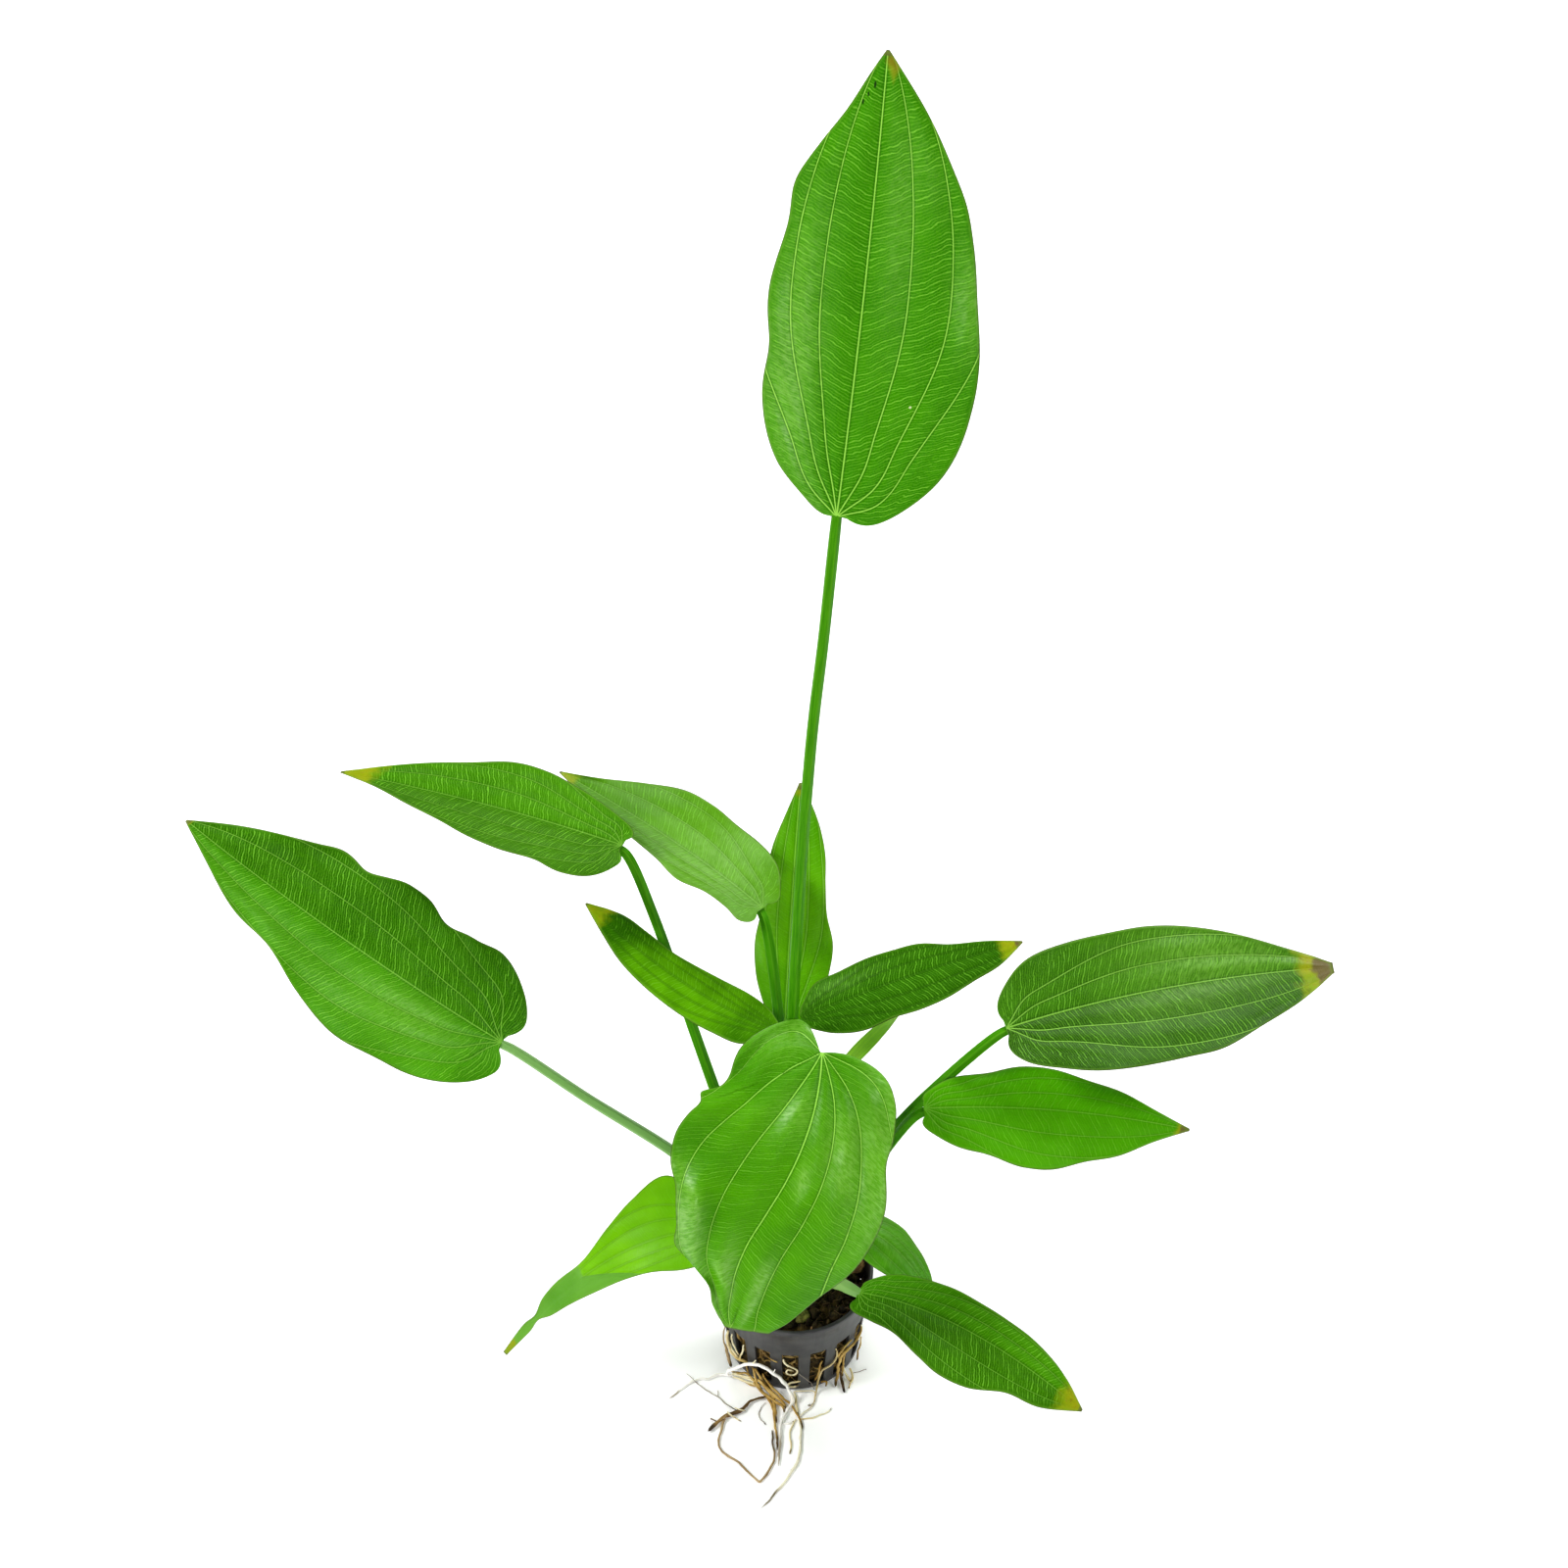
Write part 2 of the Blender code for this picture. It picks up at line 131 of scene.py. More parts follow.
def addObject(name, data):
    thing = bpy.data.objects.new(name, data)
    bpy.context.scene.collection.objects.link(thing)
    return thing


def addMesh(name, points, faceSets, finish, replaced=(), attributes=None):
    points = points.reshape(-1, 3)
    mesh = bpy.data.meshes.new(name)
    corners = np.concatenate([faces.ravel() for faces in faceSets]).astype(np.int32)
    counts = np.concatenate([np.full(len(faces), faces.shape[1]) for faces in faceSets])
    starts = np.concatenate([[0], np.cumsum(counts)[:-1]]).astype(np.int32)
    mesh.vertices.add(len(points))
    mesh.vertices.foreach_set("co", (points * mm).astype(np.float32).ravel())
    mesh.loops.add(len(corners))
    mesh.loops.foreach_set("vertex_index", corners)
    mesh.polygons.add(len(counts))
    mesh.polygons.foreach_set("loop_start", starts)
    mesh.update(calc_edges=True)
    for key, values in (attributes or {}).items():
        layer = mesh.attributes.new(key, "FLOAT_VECTOR", "POINT")
        layer.data.foreach_set("vector", values.astype(np.float32).ravel())
    mesh.shade_smooth()
    mesh.materials.append(finish)
    piece = addObject(name, mesh)
    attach(piece, "root")
    if replaced:
        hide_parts(*replaced)
    return piece


def closedRings(rows, columns, count=1):
    # quads between neighbouring rings and a cap on each end, for one or more bodies of such rings
    r, c = np.meshgrid(np.arange(rows - 1), np.arange(columns), indexing="ij")
    after = (c + 1) % columns
    row = r * columns
    quads = np.stack([row + c, row + after, row + columns + after, row + columns + c], -1)
    first = (np.arange(count) * rows * columns)[:, None]
    ring = np.arange(columns) + first
    caps = np.concatenate([ring[:, ::-1], ring + (rows - 1) * columns])
    return [(quads.reshape(-1, 4) + first[..., None]).reshape(-1, 4), caps]


def insideOut(faceSets):
    return [faces[:, ::-1] for faces in faceSets]


def sweep(paths, first, second, reach, turn):
    # rings round the paths: at each turn, the reach times cosine on the first way and sine on the second
    x = (reach * np.cos(turn))[..., None] * first[..., None, :]
    y = (reach * np.sin(turn))[..., None] * second[..., None, :]
    return paths[..., None, :] + x + y


def tube(path, radii, sides, ribs=0, ribDepth=0.0):
    # a circle with shallow ribs carried along the path, its axes square to the path and to the way
    # that the path turns least towards, so that it doesn't twist
    way = unit(np.gradient(path, axis=0))
    steady = np.linalg.svd(way, full_matrices=False)[2][-1]
    first = unit(np.cross(way, steady))
    turn = around(sides)
    reach = radii[:, None] * (1 + ribDepth * np.cos(ribs * turn)[None, :])
    points = sweep(path, first, np.cross(way, first), reach, turn)
    place = np.stack(np.broadcast_arrays(turn[None, :], along(path)[:, None], radii[:, None]), -1)
    return points.reshape(-1, 3), closedRings(len(path), sides), place.reshape(-1, 3)


def joined(parts):
    # several (points, faces, place) sets as one
    points, faceSets, places = zip(*parts)
    firsts = np.cumsum([0, *map(len, points)])
    faces = {}
    for first, sheets in zip(firsts, faceSets):
        for sheet in sheets:
            faces.setdefault(sheet.shape[1], []).append(sheet + first)
    faces = [np.concatenate(sheets) for sheets in faces.values()]
    return np.concatenate(points), faces, np.concatenate(places)


def strands(paths, radii, sides=5):
    # many thin tubes at once: paths is (strand, step, 3) and radii (strand, step); the small odd numbers
    # keep a straight strand's axes from falling together
    way = unit(np.gradient(paths, axis=1))
    steady = unit(np.cross(way[:, :1], paths[:, -1:] - paths[:, :1] + (0.013, 0.029, 0.017)))
    first = unit(np.cross(way, steady + (1e-4, 2e-4, 3e-4)))
    turn = around(sides)
    points = sweep(paths, first, np.cross(way, first), radii[..., None], turn)
    count, steps = radii.shape
    share = np.arange(steps)[None, :, None] / steps
    place = np.stack(np.broadcast_arrays(turn[None, None, :], share, np.zeros((count, 1, 1))), -1)
    return points, closedRings(steps, sides, count), place


# Finishes

def operator(operation, turned=False):
    def apply(self, other):
        return self.sum(operation, other, self) if turned else self.sum(operation, self, other)

    return apply


class Wire:
    # a node's output that can be reckoned with like a number, on either side of the sign
    def __init__(self, finish, socket):
        self.finish = finish
        self.socket = socket

    def sum(self, operation, *values):
        return self.finish.add("ShaderNodeMath", {"operation": operation}, dict(enumerate(values)))

    __add__, __radd__ = operator("ADD"), operator("ADD", True)
    __sub__, __rsub__ = operator("SUBTRACT"), operator("SUBTRACT", True)
    __mul__, __rmul__ = operator("MULTIPLY"), operator("MULTIPLY", True)
    __truediv__, __rtruediv__ = operator("DIVIDE"), operator("DIVIDE", True)
    __pow__ = operator("POWER")

    def __abs__(self):
        return self.sum("ABSOLUTE", self)

    def nearest(self):
        # how far the number is from the nearest whole one
        return abs(self - self.sum("ROUND", self))

    def within(self, start, end):
        # 0 at start and 1 at end, eased at both
        settings = {"interpolation_type": "SMOOTHSTEP"}
        return self.finish.add("ShaderNodeMapRange", settings, {0: self, 1: start, 2: end})


class Finish:
    def __init__(self, name, kind=None):
        self.material = (bpy.data.materials if kind is None else kind).new(name)
        self.material.use_nodes = True
        self.tree = self.material.node_tree
        self.tree.nodes.clear()

    def add(self, kind, settings=None, sockets=None, output=0):
        node = self.tree.nodes.new(kind)
        for key, value in (settings or {}).items():
            setattr(node, key, value)
        for key, value in (sockets or {}).items():
            if isinstance(value, Wire):
                self.tree.links.new(value.socket, node.inputs[key])
            else:
                node.inputs[key].default_value = value
        return Wire(self, node.outputs[output] if len(node.outputs) else None)

    def split(self, vector):
        first = self.add("ShaderNodeSeparateXYZ", None, {0: vector})
        return [Wire(self, socket) for socket in first.socket.node.outputs]

    def attribute(self, name):
        return self.split(self.add("ShaderNodeAttribute", {"attribute_name": name}, None, "Vector"))

    def vector(self, x, y, z):
        return self.add("ShaderNodeCombineXYZ", None, {0: x, 1: y, 2: z})

    def place(self):
        return self.add("ShaderNodeTexCoord", None, None, "Object")

    def noise(self, vector, scale, detail=2.0, roughness=0.5):
        sockets = {"Vector": vector, "Scale": scale, "Detail": detail, "Roughness": roughness}
        return self.add("ShaderNodeTexNoise", None, sockets)

    def grain(self, vector, stretch, detail):
        # noise drawn out along the axis whose number is small
        stretched = self.add("ShaderNodeMapping", None, {"Vector": vector, "Scale": stretch})
        return self.noise(stretched, 1.0, detail)

    def mix(self, share, first, second, blend="MIX"):
        # the second colour over the first by its share; a colour is a wire or three numbers
        ends = {key: end if isinstance(end, Wire) else (*end, 1) for key, end in ((6, first), (7, second))}
        return self.add("ShaderNodeMix", {"data_type": "RGBA", "blend_type": blend}, {0: share, **ends}, 2)

    def bump(self, height):
        # height is in millimetres
        return self.add("ShaderNodeBump", None, {"Strength": 1.0, "Distance": mm, "Height": height})

    def close(self, colour, roughness, normal, fixed=None, through=None, coat=0.0):
        # through is (share, colour) of the light that passes a thin blade
        sockets = {"Base Color": colour, "Roughness": roughness, "Normal": normal, "Coat Weight": coat}
        shader = self.add("ShaderNodeBsdfPrincipled", None, {**sockets, **(fixed or {})})
        if through:
            glow = self.add("ShaderNodeBsdfTranslucent", None, {"Color": (*through[1], 1)})
            shader = self.add("ShaderNodeMixShader", None, {0: through[0], 1: shader, 2: glow})
        self.add("ShaderNodeOutputMaterial", None, {0: shader})
        return self.material


def shaded(colour, share):
    return tuple(share * value for value in colour)


# Leaves: each lists what differs from plainLeaf
# line: foot, middle and tip of the midrib; face: the way the upper side looks, from foot to tip
# left, right: half widths at the stations; points: half widths at the tip; cup: how far the margins rise
# lobes: how far the lobes reach back on each side; sinus: how far out each of them starts
# crown, stalk: ring and turn of the stalk's foot on the crown, and points on its way up
# greens: two that drift over the blade; tones: painted shade, how dark each half left and right of the midrib
# is made
# bold: strength of main veins, ladder veins and gloss; dark: strength of the shade beside main veins
# sheen: patches of coat gloss and painted sheen (u, t, width, length, strength); marks: flecks (aside, along,
# width, length, colour)
# yellow, brown: dry share of the length at the tip; scorch: a dry spot (t, aside, size)
# angles, shares: main veins left and right, in degrees at the foot and as shares of the half width
# fan: how far they fan out straight; sway: how far the midrib wanders, at its places along the blade
# quilt: depth of the grooves; waves: height, length and phase of each margin's; vee: fold on the midrib
# droop: (side, from u, amount); nicks: (side, t, length, height) of the outline
# folds: (t, u, length, width, height); crease: a step across the blade (t, slant, drop)

# All blades share these: stations are the places of the half widths along it, neck and point the half
# widths at foot and tip, crowding how close the rows are at the foot, lobeReach and lobeRound how far
# along and across the lobes go, swell how the side veins spread on the way, arch, groove and rib their
# relief, the bends how late a margin rises or waves, pinch how much a blade with points narrows at its
# tip, thinEdge and thinTip where it thins out, and the rings and crownTop where stalks rise

blade = {
    "stations": (0, 0.04, 0.12, 0.25, 0.38, 0.5, 0.62, 0.75, 0.88, 1),
    "neck": 1.5, "point": 0.4, "crowding": 1.6, "lobeReach": 0.15, "lobeRound": 0.3, "thickness": 0.5,
    "swell": ((0, 0.05, 0.2, 0.4, 0.6, 0.76, 0.9, 1), (0.37, 0.46, 0.62, 0.87, 1.01, 1.15, 1.35, 1.57)),
    "arch": 0.055, "widestArch": 14, "groove": 0.16, "rib": 0.5,
    "cupBend": 1.4, "waveBend": 2.6, "waveEnds": (0.08, 0.9), "pinch": 0.12, "pinchFrom": 0.93,
    "thinEdge": 3, "thinTip": 0.03,
    "outerRing": 9.2, "innerRing": 3.0, "crownTop": 43.3,
}

plainLeaf = {
    "face": (up, up), "cup": 0.1, "sinus": (2.5, 2.5), "points": None, "tones": (1, 1), "sheen": (),
    "marks": (), "brown": 0.012, "scorch": None, "veins": 2, "midrib": 0.05, "angles": ((20, 38, 56),) * 2,
    "shares": ((0.45, 0.86, 1.3),) * 2, "sway": ((0, 0.5, 1), (0, 0, 0)), "vee": 0, "droop": (),
    "nicks": (), "folds": (), "crease": None,
}

leaves = {
    "tall": {
        "line": ((11, 36, 334), (17.9, 58, 393), (23, 74, 455)), "face": (toViewer, toViewer), "cup": 0.06,
        "lobes": (1, 3), "left": (9.5, 18.8, 24, 24.5, 25, 22, 18.5, 9.7),
        "right": (17, 27, 32, 32.5, 30, 27, 20.8, 11.6), "crown": ("innerRing", 90),
        "stalk": ((-0.9, 7, 150), (4.2, 16, 265), (7.7, 24, 301)),
        "greens": ((0.04, 0.235, 0.0004), (0.06, 0.295, 0.0008)), "bold": (1, 0.9, 0.04),
        "sheen": ((-0.72, 0.32, 0.3, 0.32, 1.0), (0.95, 0.5, 0.16, 0.1, 0.9), (0.28, 0.62, 0.16, 0.22, 0.45),
            (0.6, 0.78, 0.3, 0.1, 0.3)),
        "marks": ((-2.5, 118.7, 0.3, 1.0, (0.01, 0.02, 0.008)), (-4.0, 116.1, 0.25, 0.7, (0.01, 0.02, 0.008)),
            (-5.2, 114, 0.25, 0.8, (0.01, 0.02, 0.008)), (15.8, 33.3, 0.4, 0.4, (0.8, 0.9, 0.5))),
        "yellow": 0.008, "scorch": (0.978, 2.0, 5), "veins": 3, "angles": ((13, 27, 48), (23, 45, 68)),
        "shares": ((0.475, 0.81, 1.25), (0.405, 0.79, 1.14)), "quilt": 0.55,
        "waves": ((0.8, 42, 0.4), (0.8, 50, 2.0)), "droop": ((-1, 0.42, 0.35), (1, 0.6, 0.2)),
        "nicks": ((-1, 0.72, 7, 1.2), (1, 0.7, 8, 0.6), (-1, 0.36, 7, -0.8), (-1, 0.88, 8, -0.8)),
        "folds": ((0.35, 0.2, 30, 5, -0.6),), "grid": (170, 72),
    },
    "far_left": {
        "line": ((-93, 22, 129), (-145, 45, 155), (-193, 70, 181)), "face": ((0, -0.1, 1), (0, -0.1, 1)),
        "lobes": (5, 5), "left": (19, 27, 30, 30.5, 25.5, 18, 15, 7.5),
        "right": (18.5, 26, 24, 28, 25, 23.5, 18, 10), "crown": ("outerRing", 180),
        "stalk": ((-22, 3, 76), (-40, 6, 94.5), (-66, 14, 110.5)),
        "greens": ((0.052, 0.25, 0.0015), (0.08, 0.33, 0.003)), "tones": (1.0, 0.56),
        "bold": (0.5, 0.9, 0.06), "sheen": ((-0.3, 0.22, 0.25, 0.16, 0.8), (-0.6, 0.5, 0.3, 0.4, 0.35)),
        "yellow": 0.015, "veins": 3, "quilt": 0.6, "waves": ((1.6, 34, 0.8), (1.8, 33, 2.6)), "vee": 0.28,
        "nicks": ((1, 0.634, 5, 0.8), (1, 0.541, 4.5, -1.3), (1, 0.44, 5, 0.9), (1, 0.298, 4.5, -1.3),
            (1, 0.225, 5, 0.8)),
        "grid": (170, 72),
    },
    "upper_left": {
        "line": ((-54, 57, 183), (-98, 78, 180), (-148, 100, 173)), "lobes": (4, 4),
        "left": (17, 20, 18, 18, 16, 12, 8, 3.5), "right": (8, 12, 16, 19, 19, 15.5, 11.5, 6),
        "crown": ("outerRing", 154), "stalk": ((-26, 26, 101), (-33.5, 36, 123), (-44.5, 50, 157)),
        "greens": ((0.06, 0.25, 0.001), (0.085, 0.315, 0.003)), "tones": (0.5, 0.74),
        "bold": (0.32, 0.85, 0.04), "dark": 0.45, "sheen": ((-0.5, 0.4, 0.4, 0.5, 0.12),), "yellow": 0.12,
        "veins": 3, "quilt": 0.5, "waves": ((1.3, 36, 0.2), (1.0, 40, 1.4)), "vee": 0.2, "grid": (150, 60),
    },
    "middle_left": {
        "line": ((-10, 45, 167), (-38, 69, 172), (-76, 95, 178)), "lobes": (3, 3),
        "left": (9.5, 9, 9.5, 12, 10, 8.5, 7, 4), "right": (9, 15, 17.5, 18, 19, 18, 12.5, 5.5),
        "crown": ("outerRing", 129), "stalk": ((-4.5, 16, 100), (-5, 25, 137)),
        "greens": ((0.08, 0.245, 0.003), (0.108, 0.31, 0.005)), "bold": (0.3, 0.6, 0.22),
        "sheen": ((0, 0.3, 1.2, 0.3, 0.45),), "yellow": 0.06, "brown": 0.008, "quilt": 0.25,
        "waves": ((1.4, 36, 2.6), (1.8, 38, 0.6)), "vee": 0.1, "grid": (150, 60),
    },
    "inner_left": {
        "line": ((-6, 11, 148), (-36, 29, 151), (-66, 50, 164)), "cup": -0.25, "lobes": (1, 1),
        "left": (5, 8.6, 9.2, 9.4, 9, 8.2, 6.6, 3.5), "right": (5, 9, 11, 10.5, 9.5, 8.5, 8.5, 7),
        "crown": ("innerRing", 210), "stalk": ((-9, 7, 90), (-9, 9, 125)),
        "greens": ((0.022, 0.12, 0.0004), (0.14, 0.42, 0.002)), "tones": (0.9, 0.75),
        "bold": (0.04, 0.35, 0.01), "dark": 0.28, "yellow": 0.1, "quilt": 0.2,
        "waves": ((0.8, 44, 1.0), (0.8, 40, 0.3)), "grid": (130, 48),
    },
    "upright_behind": {
        "line": ((-3, 35, 123), (-1, 58.5, 151.5), (2, 84, 184)), "face": (toViewer, toViewer),
        "lobes": (2, 2), "left": (5, 8, 10.5, 11, 9.5, 8.5, 7.5, 4),
        "right": (6, 10.5, 13.5, 14, 11.5, 10.5, 9.5, 6), "crown": ("outerRing", 104),
        "stalk": ((0, 19, 82), (-2, 28, 109)), "greens": ((0.095, 0.37, 0.001), (0.17, 0.49, 0.004)),
        "bold": (0.6, 0.35, 0.08), "sheen": ((-0.7, 0.4, 0.3, 0.3, 0.5),), "yellow": 0.05, "brown": 0.03,
        "quilt": 0.3, "waves": ((0.8, 38, 1.0), (1.2, 36, 0.2)), "vee": 0.1, "grid": (130, 48),
    },
    "inner_right": {
        "line": ((2, 15, 149), (35, 26, 156), (72, 40, 157)), "cup": -0.1, "lobes": (2, 2),
        "left": (5, 11.5, 12.5, 13.5, 13, 12, 7.5, 4.5), "right": (5, 10, 13, 12.5, 13, 12, 9, 6),
        "crown": ("outerRing", 78), "stalk": ((5, 11, 95), (4, 13, 130)),
        "greens": ((0.03, 0.15, 0.001), (0.045, 0.2, 0.002)), "tones": (0.62, 0.66),
        "bold": (0.04, 0.6, 0.01), "dark": 0.42, "sheen": ((-0.6, 0.2, 0.3, 0.2, 0.3),), "yellow": 0.09,
        "brown": 0.03, "quilt": 0.5, "waves": ((0.9, 34, 0.6), (0.7, 42, 2.2)), "vee": 0.1, "grid": (130, 48),
    },
    "big_right": {
        "line": ((65, 5, 156), (115, 18, 160), (169, 30, 156)), "face": ((0, -0.4, 0.9), (0, -0.4, 0.9)),
        "lobes": (2, 2.5), "left": (12, 18.5, 20.5, 20.5, 20, 17.5, 13, 7),
        "right": (12.5, 17.5, 22, 23.5, 23.5, 22.5, 17, 10.5), "points": (1.8, 2), "crown": ("outerRing", 26),
        "stalk": ((19, 1, 86), (32, 1, 112), (43, 3, 128)),
        "greens": ((0.032, 0.13, 0.002), (0.05, 0.175, 0.005)), "tones": (1.1, 0.56), "bold": (0.6, 0.7, 0.2),
        "sheen": ((-0.45, 0.7, 0.5, 0.28, 1.0), (0.2, 0.5, 0.3, 0.2, 0.3)), "yellow": 0.105, "brown": 0.06,
        "quilt": 0.42, "waves": ((1.0, 40, 0.9), (1.2, 38, 2.4)), "vee": 0.15, "grid": (160, 64),
    },
    "lower_right": {
        "line": ((40, -8, 133), (81, -7, 131), (123, -10, 125)), "face": ((0, -0.3, 0.95), (0, -0.3, 0.95)),
        "cup": 0.0, "lobes": (3, 3), "left": (6, 10, 11.5, 14, 13.5, 11, 8.5, 4),
        "right": (8, 13, 16, 19.5, 19.5, 16, 12.5, 6), "crown": ("outerRing", -26),
        "stalk": ((18, -6, 82), (32, -7, 118)), "greens": ((0.082, 0.345, 0.001), (0.105, 0.42, 0.002)),
        "tones": (1.0, 0.86), "bold": (0.3, 0.4, 0.05), "yellow": 0.05, "brown": 0.035, "veins": 3,
        "quilt": 0.35, "waves": ((0.8, 36, 0.9), (1.0, 36, 2.4)), "vee": 0.05, "grid": (150, 56),
    },
    "young": {
        "line": ((11.5, 9, 125.5), (23, 19, 132), (34.5, 31, 135)), "face": ((0, -0.2, 1), (0, -0.2, 1)),
        "lobes": (0, 0), "left": (1.5, 2, 2.4, 2.7, 2.7, 2.5, 2.1, 1.3),
        "right": (1.4, 1.8, 2.2, 2.4, 2.4, 2.2, 1.8, 1.1), "crown": ("outerRing", 52),
        # the young leaf's greens are painted light: far paler than its own green, to lift it out of the shade
        # of the leaves around it
        "stalk": ((9.5, 6, 75), (11, 7, 105)), "greens": ((0.55, 0.92, 0.09), (0.66, 0.97, 0.14)),
        "bold": (0.3, 0.1, 0.4), "sheen": ((0.0, 0.5, 1, 0.5, 0.5),), "yellow": 0.0, "brown": 0.0, "veins": 1,
        "quilt": 0.1, "waves": ((0.1, 30, 0), (0.1, 30, 1)), "grid": (80, 28),
    },
    "front": {
        "line": ((8.3, -5.8, 157.3), (-3, -38, 134), (-20, -50, 76)),
        "face": ((0, -0.3, 0.95), (0, -0.6, 0.8), (0, -0.95, 0.3)), "cup": -0.08, "lobes": (2, 12),
        "sinus": (0.2, 0.6), "left": (19, 25, 27.5, 29, 31.5, 31, 28, 21),
        "right": (18.2, 23.8, 28.5, 35.2, 36.2, 31.5, 26.5, 14), "points": (14, 2),
        "crown": ("outerRing", -80), "stalk": ((4, -9, 90), (7, -7, 138)),
        "greens": ((0.056, 0.255, 0.0003), (0.092, 0.345, 0.0006)), "bold": (0.95, 0.6, 0.05),
        "sheen": ((0.6, 0, 0.5, 0.08, 0.8), (-1, 0.3, 0.35, 0.35, 1.3), (0.9, 0.72, 0.14, 0.12, 1.3),
            (0.1, 0.24, 0.25, 0.1, 0.8), (-0.45, 0.3, 0.2, 0.12, 1), (-0.15, 0.47, 0.07, 0.06, 1.1),
            (-0.55, 0.42, 0.1, 0.07, 0.8), (0.95, 0.58, 0.08, 0.05, 0.8), (0.85, 0.68, 0.12, 0.07, 1),
            (0.78, 0.78, 0.12, 0.06, 0.9), (0.33, 0.84, 0.1, 0.1, 1.0), (0.48, 0.85, 0.08, 0.05, 1),
            (0.8, 0.93, 0.15, 0.04, 0.9), (-0.13, 0.84, 0.09, 0.08, 1.2), (-0.19, 0.93, 0.06, 0.05, 0.9)),
        "yellow": 0.0, "brown": 0.0, "veins": 3, "angles": ((16.5, 35, 72), (19, 44, 125)),
        "shares": ((0.36, 0.77, 1.35), (0.445, 0.87, 1.35)), "fan": 50,
        "sway": ((0, 0.1, 0.25, 0.5, 0.62, 0.75, 0.88, 0.95, 1), (0, -1.2, -2, 0, 2.4, 5, 4.8, 3, 0)),
        "quilt": 1.0, "waves": ((1.2, 34, 0.5), (2.4, 32, 1.2)), "nicks": ((1, 0.95, 5, 1.2),
            (1, 0.07, 7, 3.4), (1, 0.27, 3.5, 3.4), (1, 0.34, 8, -0.6), (1, 0.81, 4.6, 4.0),
            (1, 0.576, 6, 1.2), (1, 0.89, 5, -2), (-1, 0.33, 6, -1)),
        "folds": ((0.7, 0.8, 10, 6, 3.6), (0.55, 0.94, 8, 5, -2.0), (0.82, 0.95, 7, 6, -2.4),
            (0.4, -0.28, 12, 5, 1.2), (0.48, -0.18, 7, 4, -1.4), (0.56, -0.25, 7, 4, 1.2),
            (0.86, 0.45, 12, 2.4, 1.5), (0.88, -0.15, 10, 2.2, 1.2), (0.42, -0.55, 8, 4, -1.2),
            (0.36, -0.85, 16, 7, -2.2), (0.62, -0.9, 12, 6, 1.6)),
        "grid": (180, 84),
    },
    "low_left": {
        "line": ((-20, -6, 67), (-58.5, -10.5, 59.5), (-97, -18, 15)), "face": ((-0.1, -0.35, 0.93),
            (-0.1, -0.35, 0.93), (-0.2, -0.4, 0.9), (-0.6, -0.5, 0.6), (-0.3, -0.7, 0.6)),
        "cup": 0.05, "lobes": (3, 3), "left": (7, 11, 12.4, 10.2, 8.6, 7, 4.4, 2),
        "right": (5, 10.5, 20, 15, 9.4, 4.6, 4.3, 2), "points": (0.9, 0.9), "crown": ("outerRing", 206),
        "stalk": ((-11.5, -5, 56),), "greens": ((0.17, 0.48, 0.001), (0.22, 0.57, 0.002)),
        "bold": (0.2, 0.3, 0.07), "sheen": ((-0.4, 0.2, 0.5, 0.2, 0.3), (0, 0.75, 1, 0.15, 0.6)),
        "yellow": 0.05, "brown": 0.0, "quilt": 0.2, "waves": ((0.8, 40, 1.0), (0.8, 40, 0.3)),
        "nicks": ((-1, 0.85, 3, -1.4), (1, 0.85, 3, -1.4)), "crease": (0.64, 0.0236, 1.1), "grid": (140, 52),
    },
    "low_right": {
        "line": ((21, -18, 50), (55, -38, 58), (92, -58, 42)), "face": ((0.1, -0.3, 0.95), (0.1, -0.3, 0.95)),
        "cup": -0.05, "lobes": (4, 4), "left": (5, 9, 10.5, 11, 10.5, 10, 9, 6),
        "right": (7, 9, 11, 15, 17.5, 16.5, 11, 8), "crown": ("outerRing", -52),
        "stalk": ((10, -12, 49), (16, -15, 50)), "greens": ((0.066, 0.28, 0.001), (0.095, 0.36, 0.004)),
        "tones": (0.85, 0.46), "bold": (0.34, 0.8, 0.03), "dark": 0.5, "sheen": ((0.4, 0.3, 0.3, 0.2, 0.2),),
        "yellow": 0.09, "veins": 3, "quilt": 0.6, "waves": ((0.8, 36, 0.9), (1.2, 34, 2.0)), "vee": 0.15,
        "grid": (150, 56),
    },
    "low_right_behind": {
        "line": ((17, 4, 58), (32.5, -3.5, 55.5), (46, -16.5, 43.5)),
        "face": ((0.2, -0.2, 0.95), (0.4, -0.3, 0.85)), "cup": -0.1, "lobes": (0, 0),
        "left": (4, 6.5, 7.5, 8, 8, 7, 6, 4), "right": (3, 6, 9, 10, 10, 9, 7, 4), "crown": ("outerRing", 0),
        "stalk": ((12, 0, 50), (13.7, 1.8, 54.5)), "greens": ((0.09, 0.36, 0.003), (0.12, 0.42, 0.008)),
        "bold": (0.3, 0.3, 0.3), "sheen": ((0.0, 0.4, 1, 0.4, 0.5),), "yellow": 0.0, "brown": 0.0,
        "quilt": 0.4, "waves": ((0.5, 30, 0), (0.8, 26, 1)), "grid": (100, 40),
    },
}


def midrib(leaf, t):
    # one arc through foot, middle and tip, and the way it runs
    foot, middle, tip = np.array(leaf["line"], float)
    bend = 2 * middle - (foot + tip) / 2
    t = t[..., None]
    place = foot * (1 - t) ** 2 + bend * 2 * t * (1 - t) + tip * t**2
    return place, unit((bend - foot) * (1 - t) + (tip - bend) * t)


def bladeFrame(leaf, t):
    place, way = midrib(leaf, t)
    turns = np.linspace(0, 1, len(leaf["face"]))
    face = np.stack([np.interp(t, turns, values) for values in zip(*leaf["face"])], -1)
    rise = unit(face - (face * way).sum(-1, keepdims=True) * way)
    return place, way, rise, np.cross(way, rise)


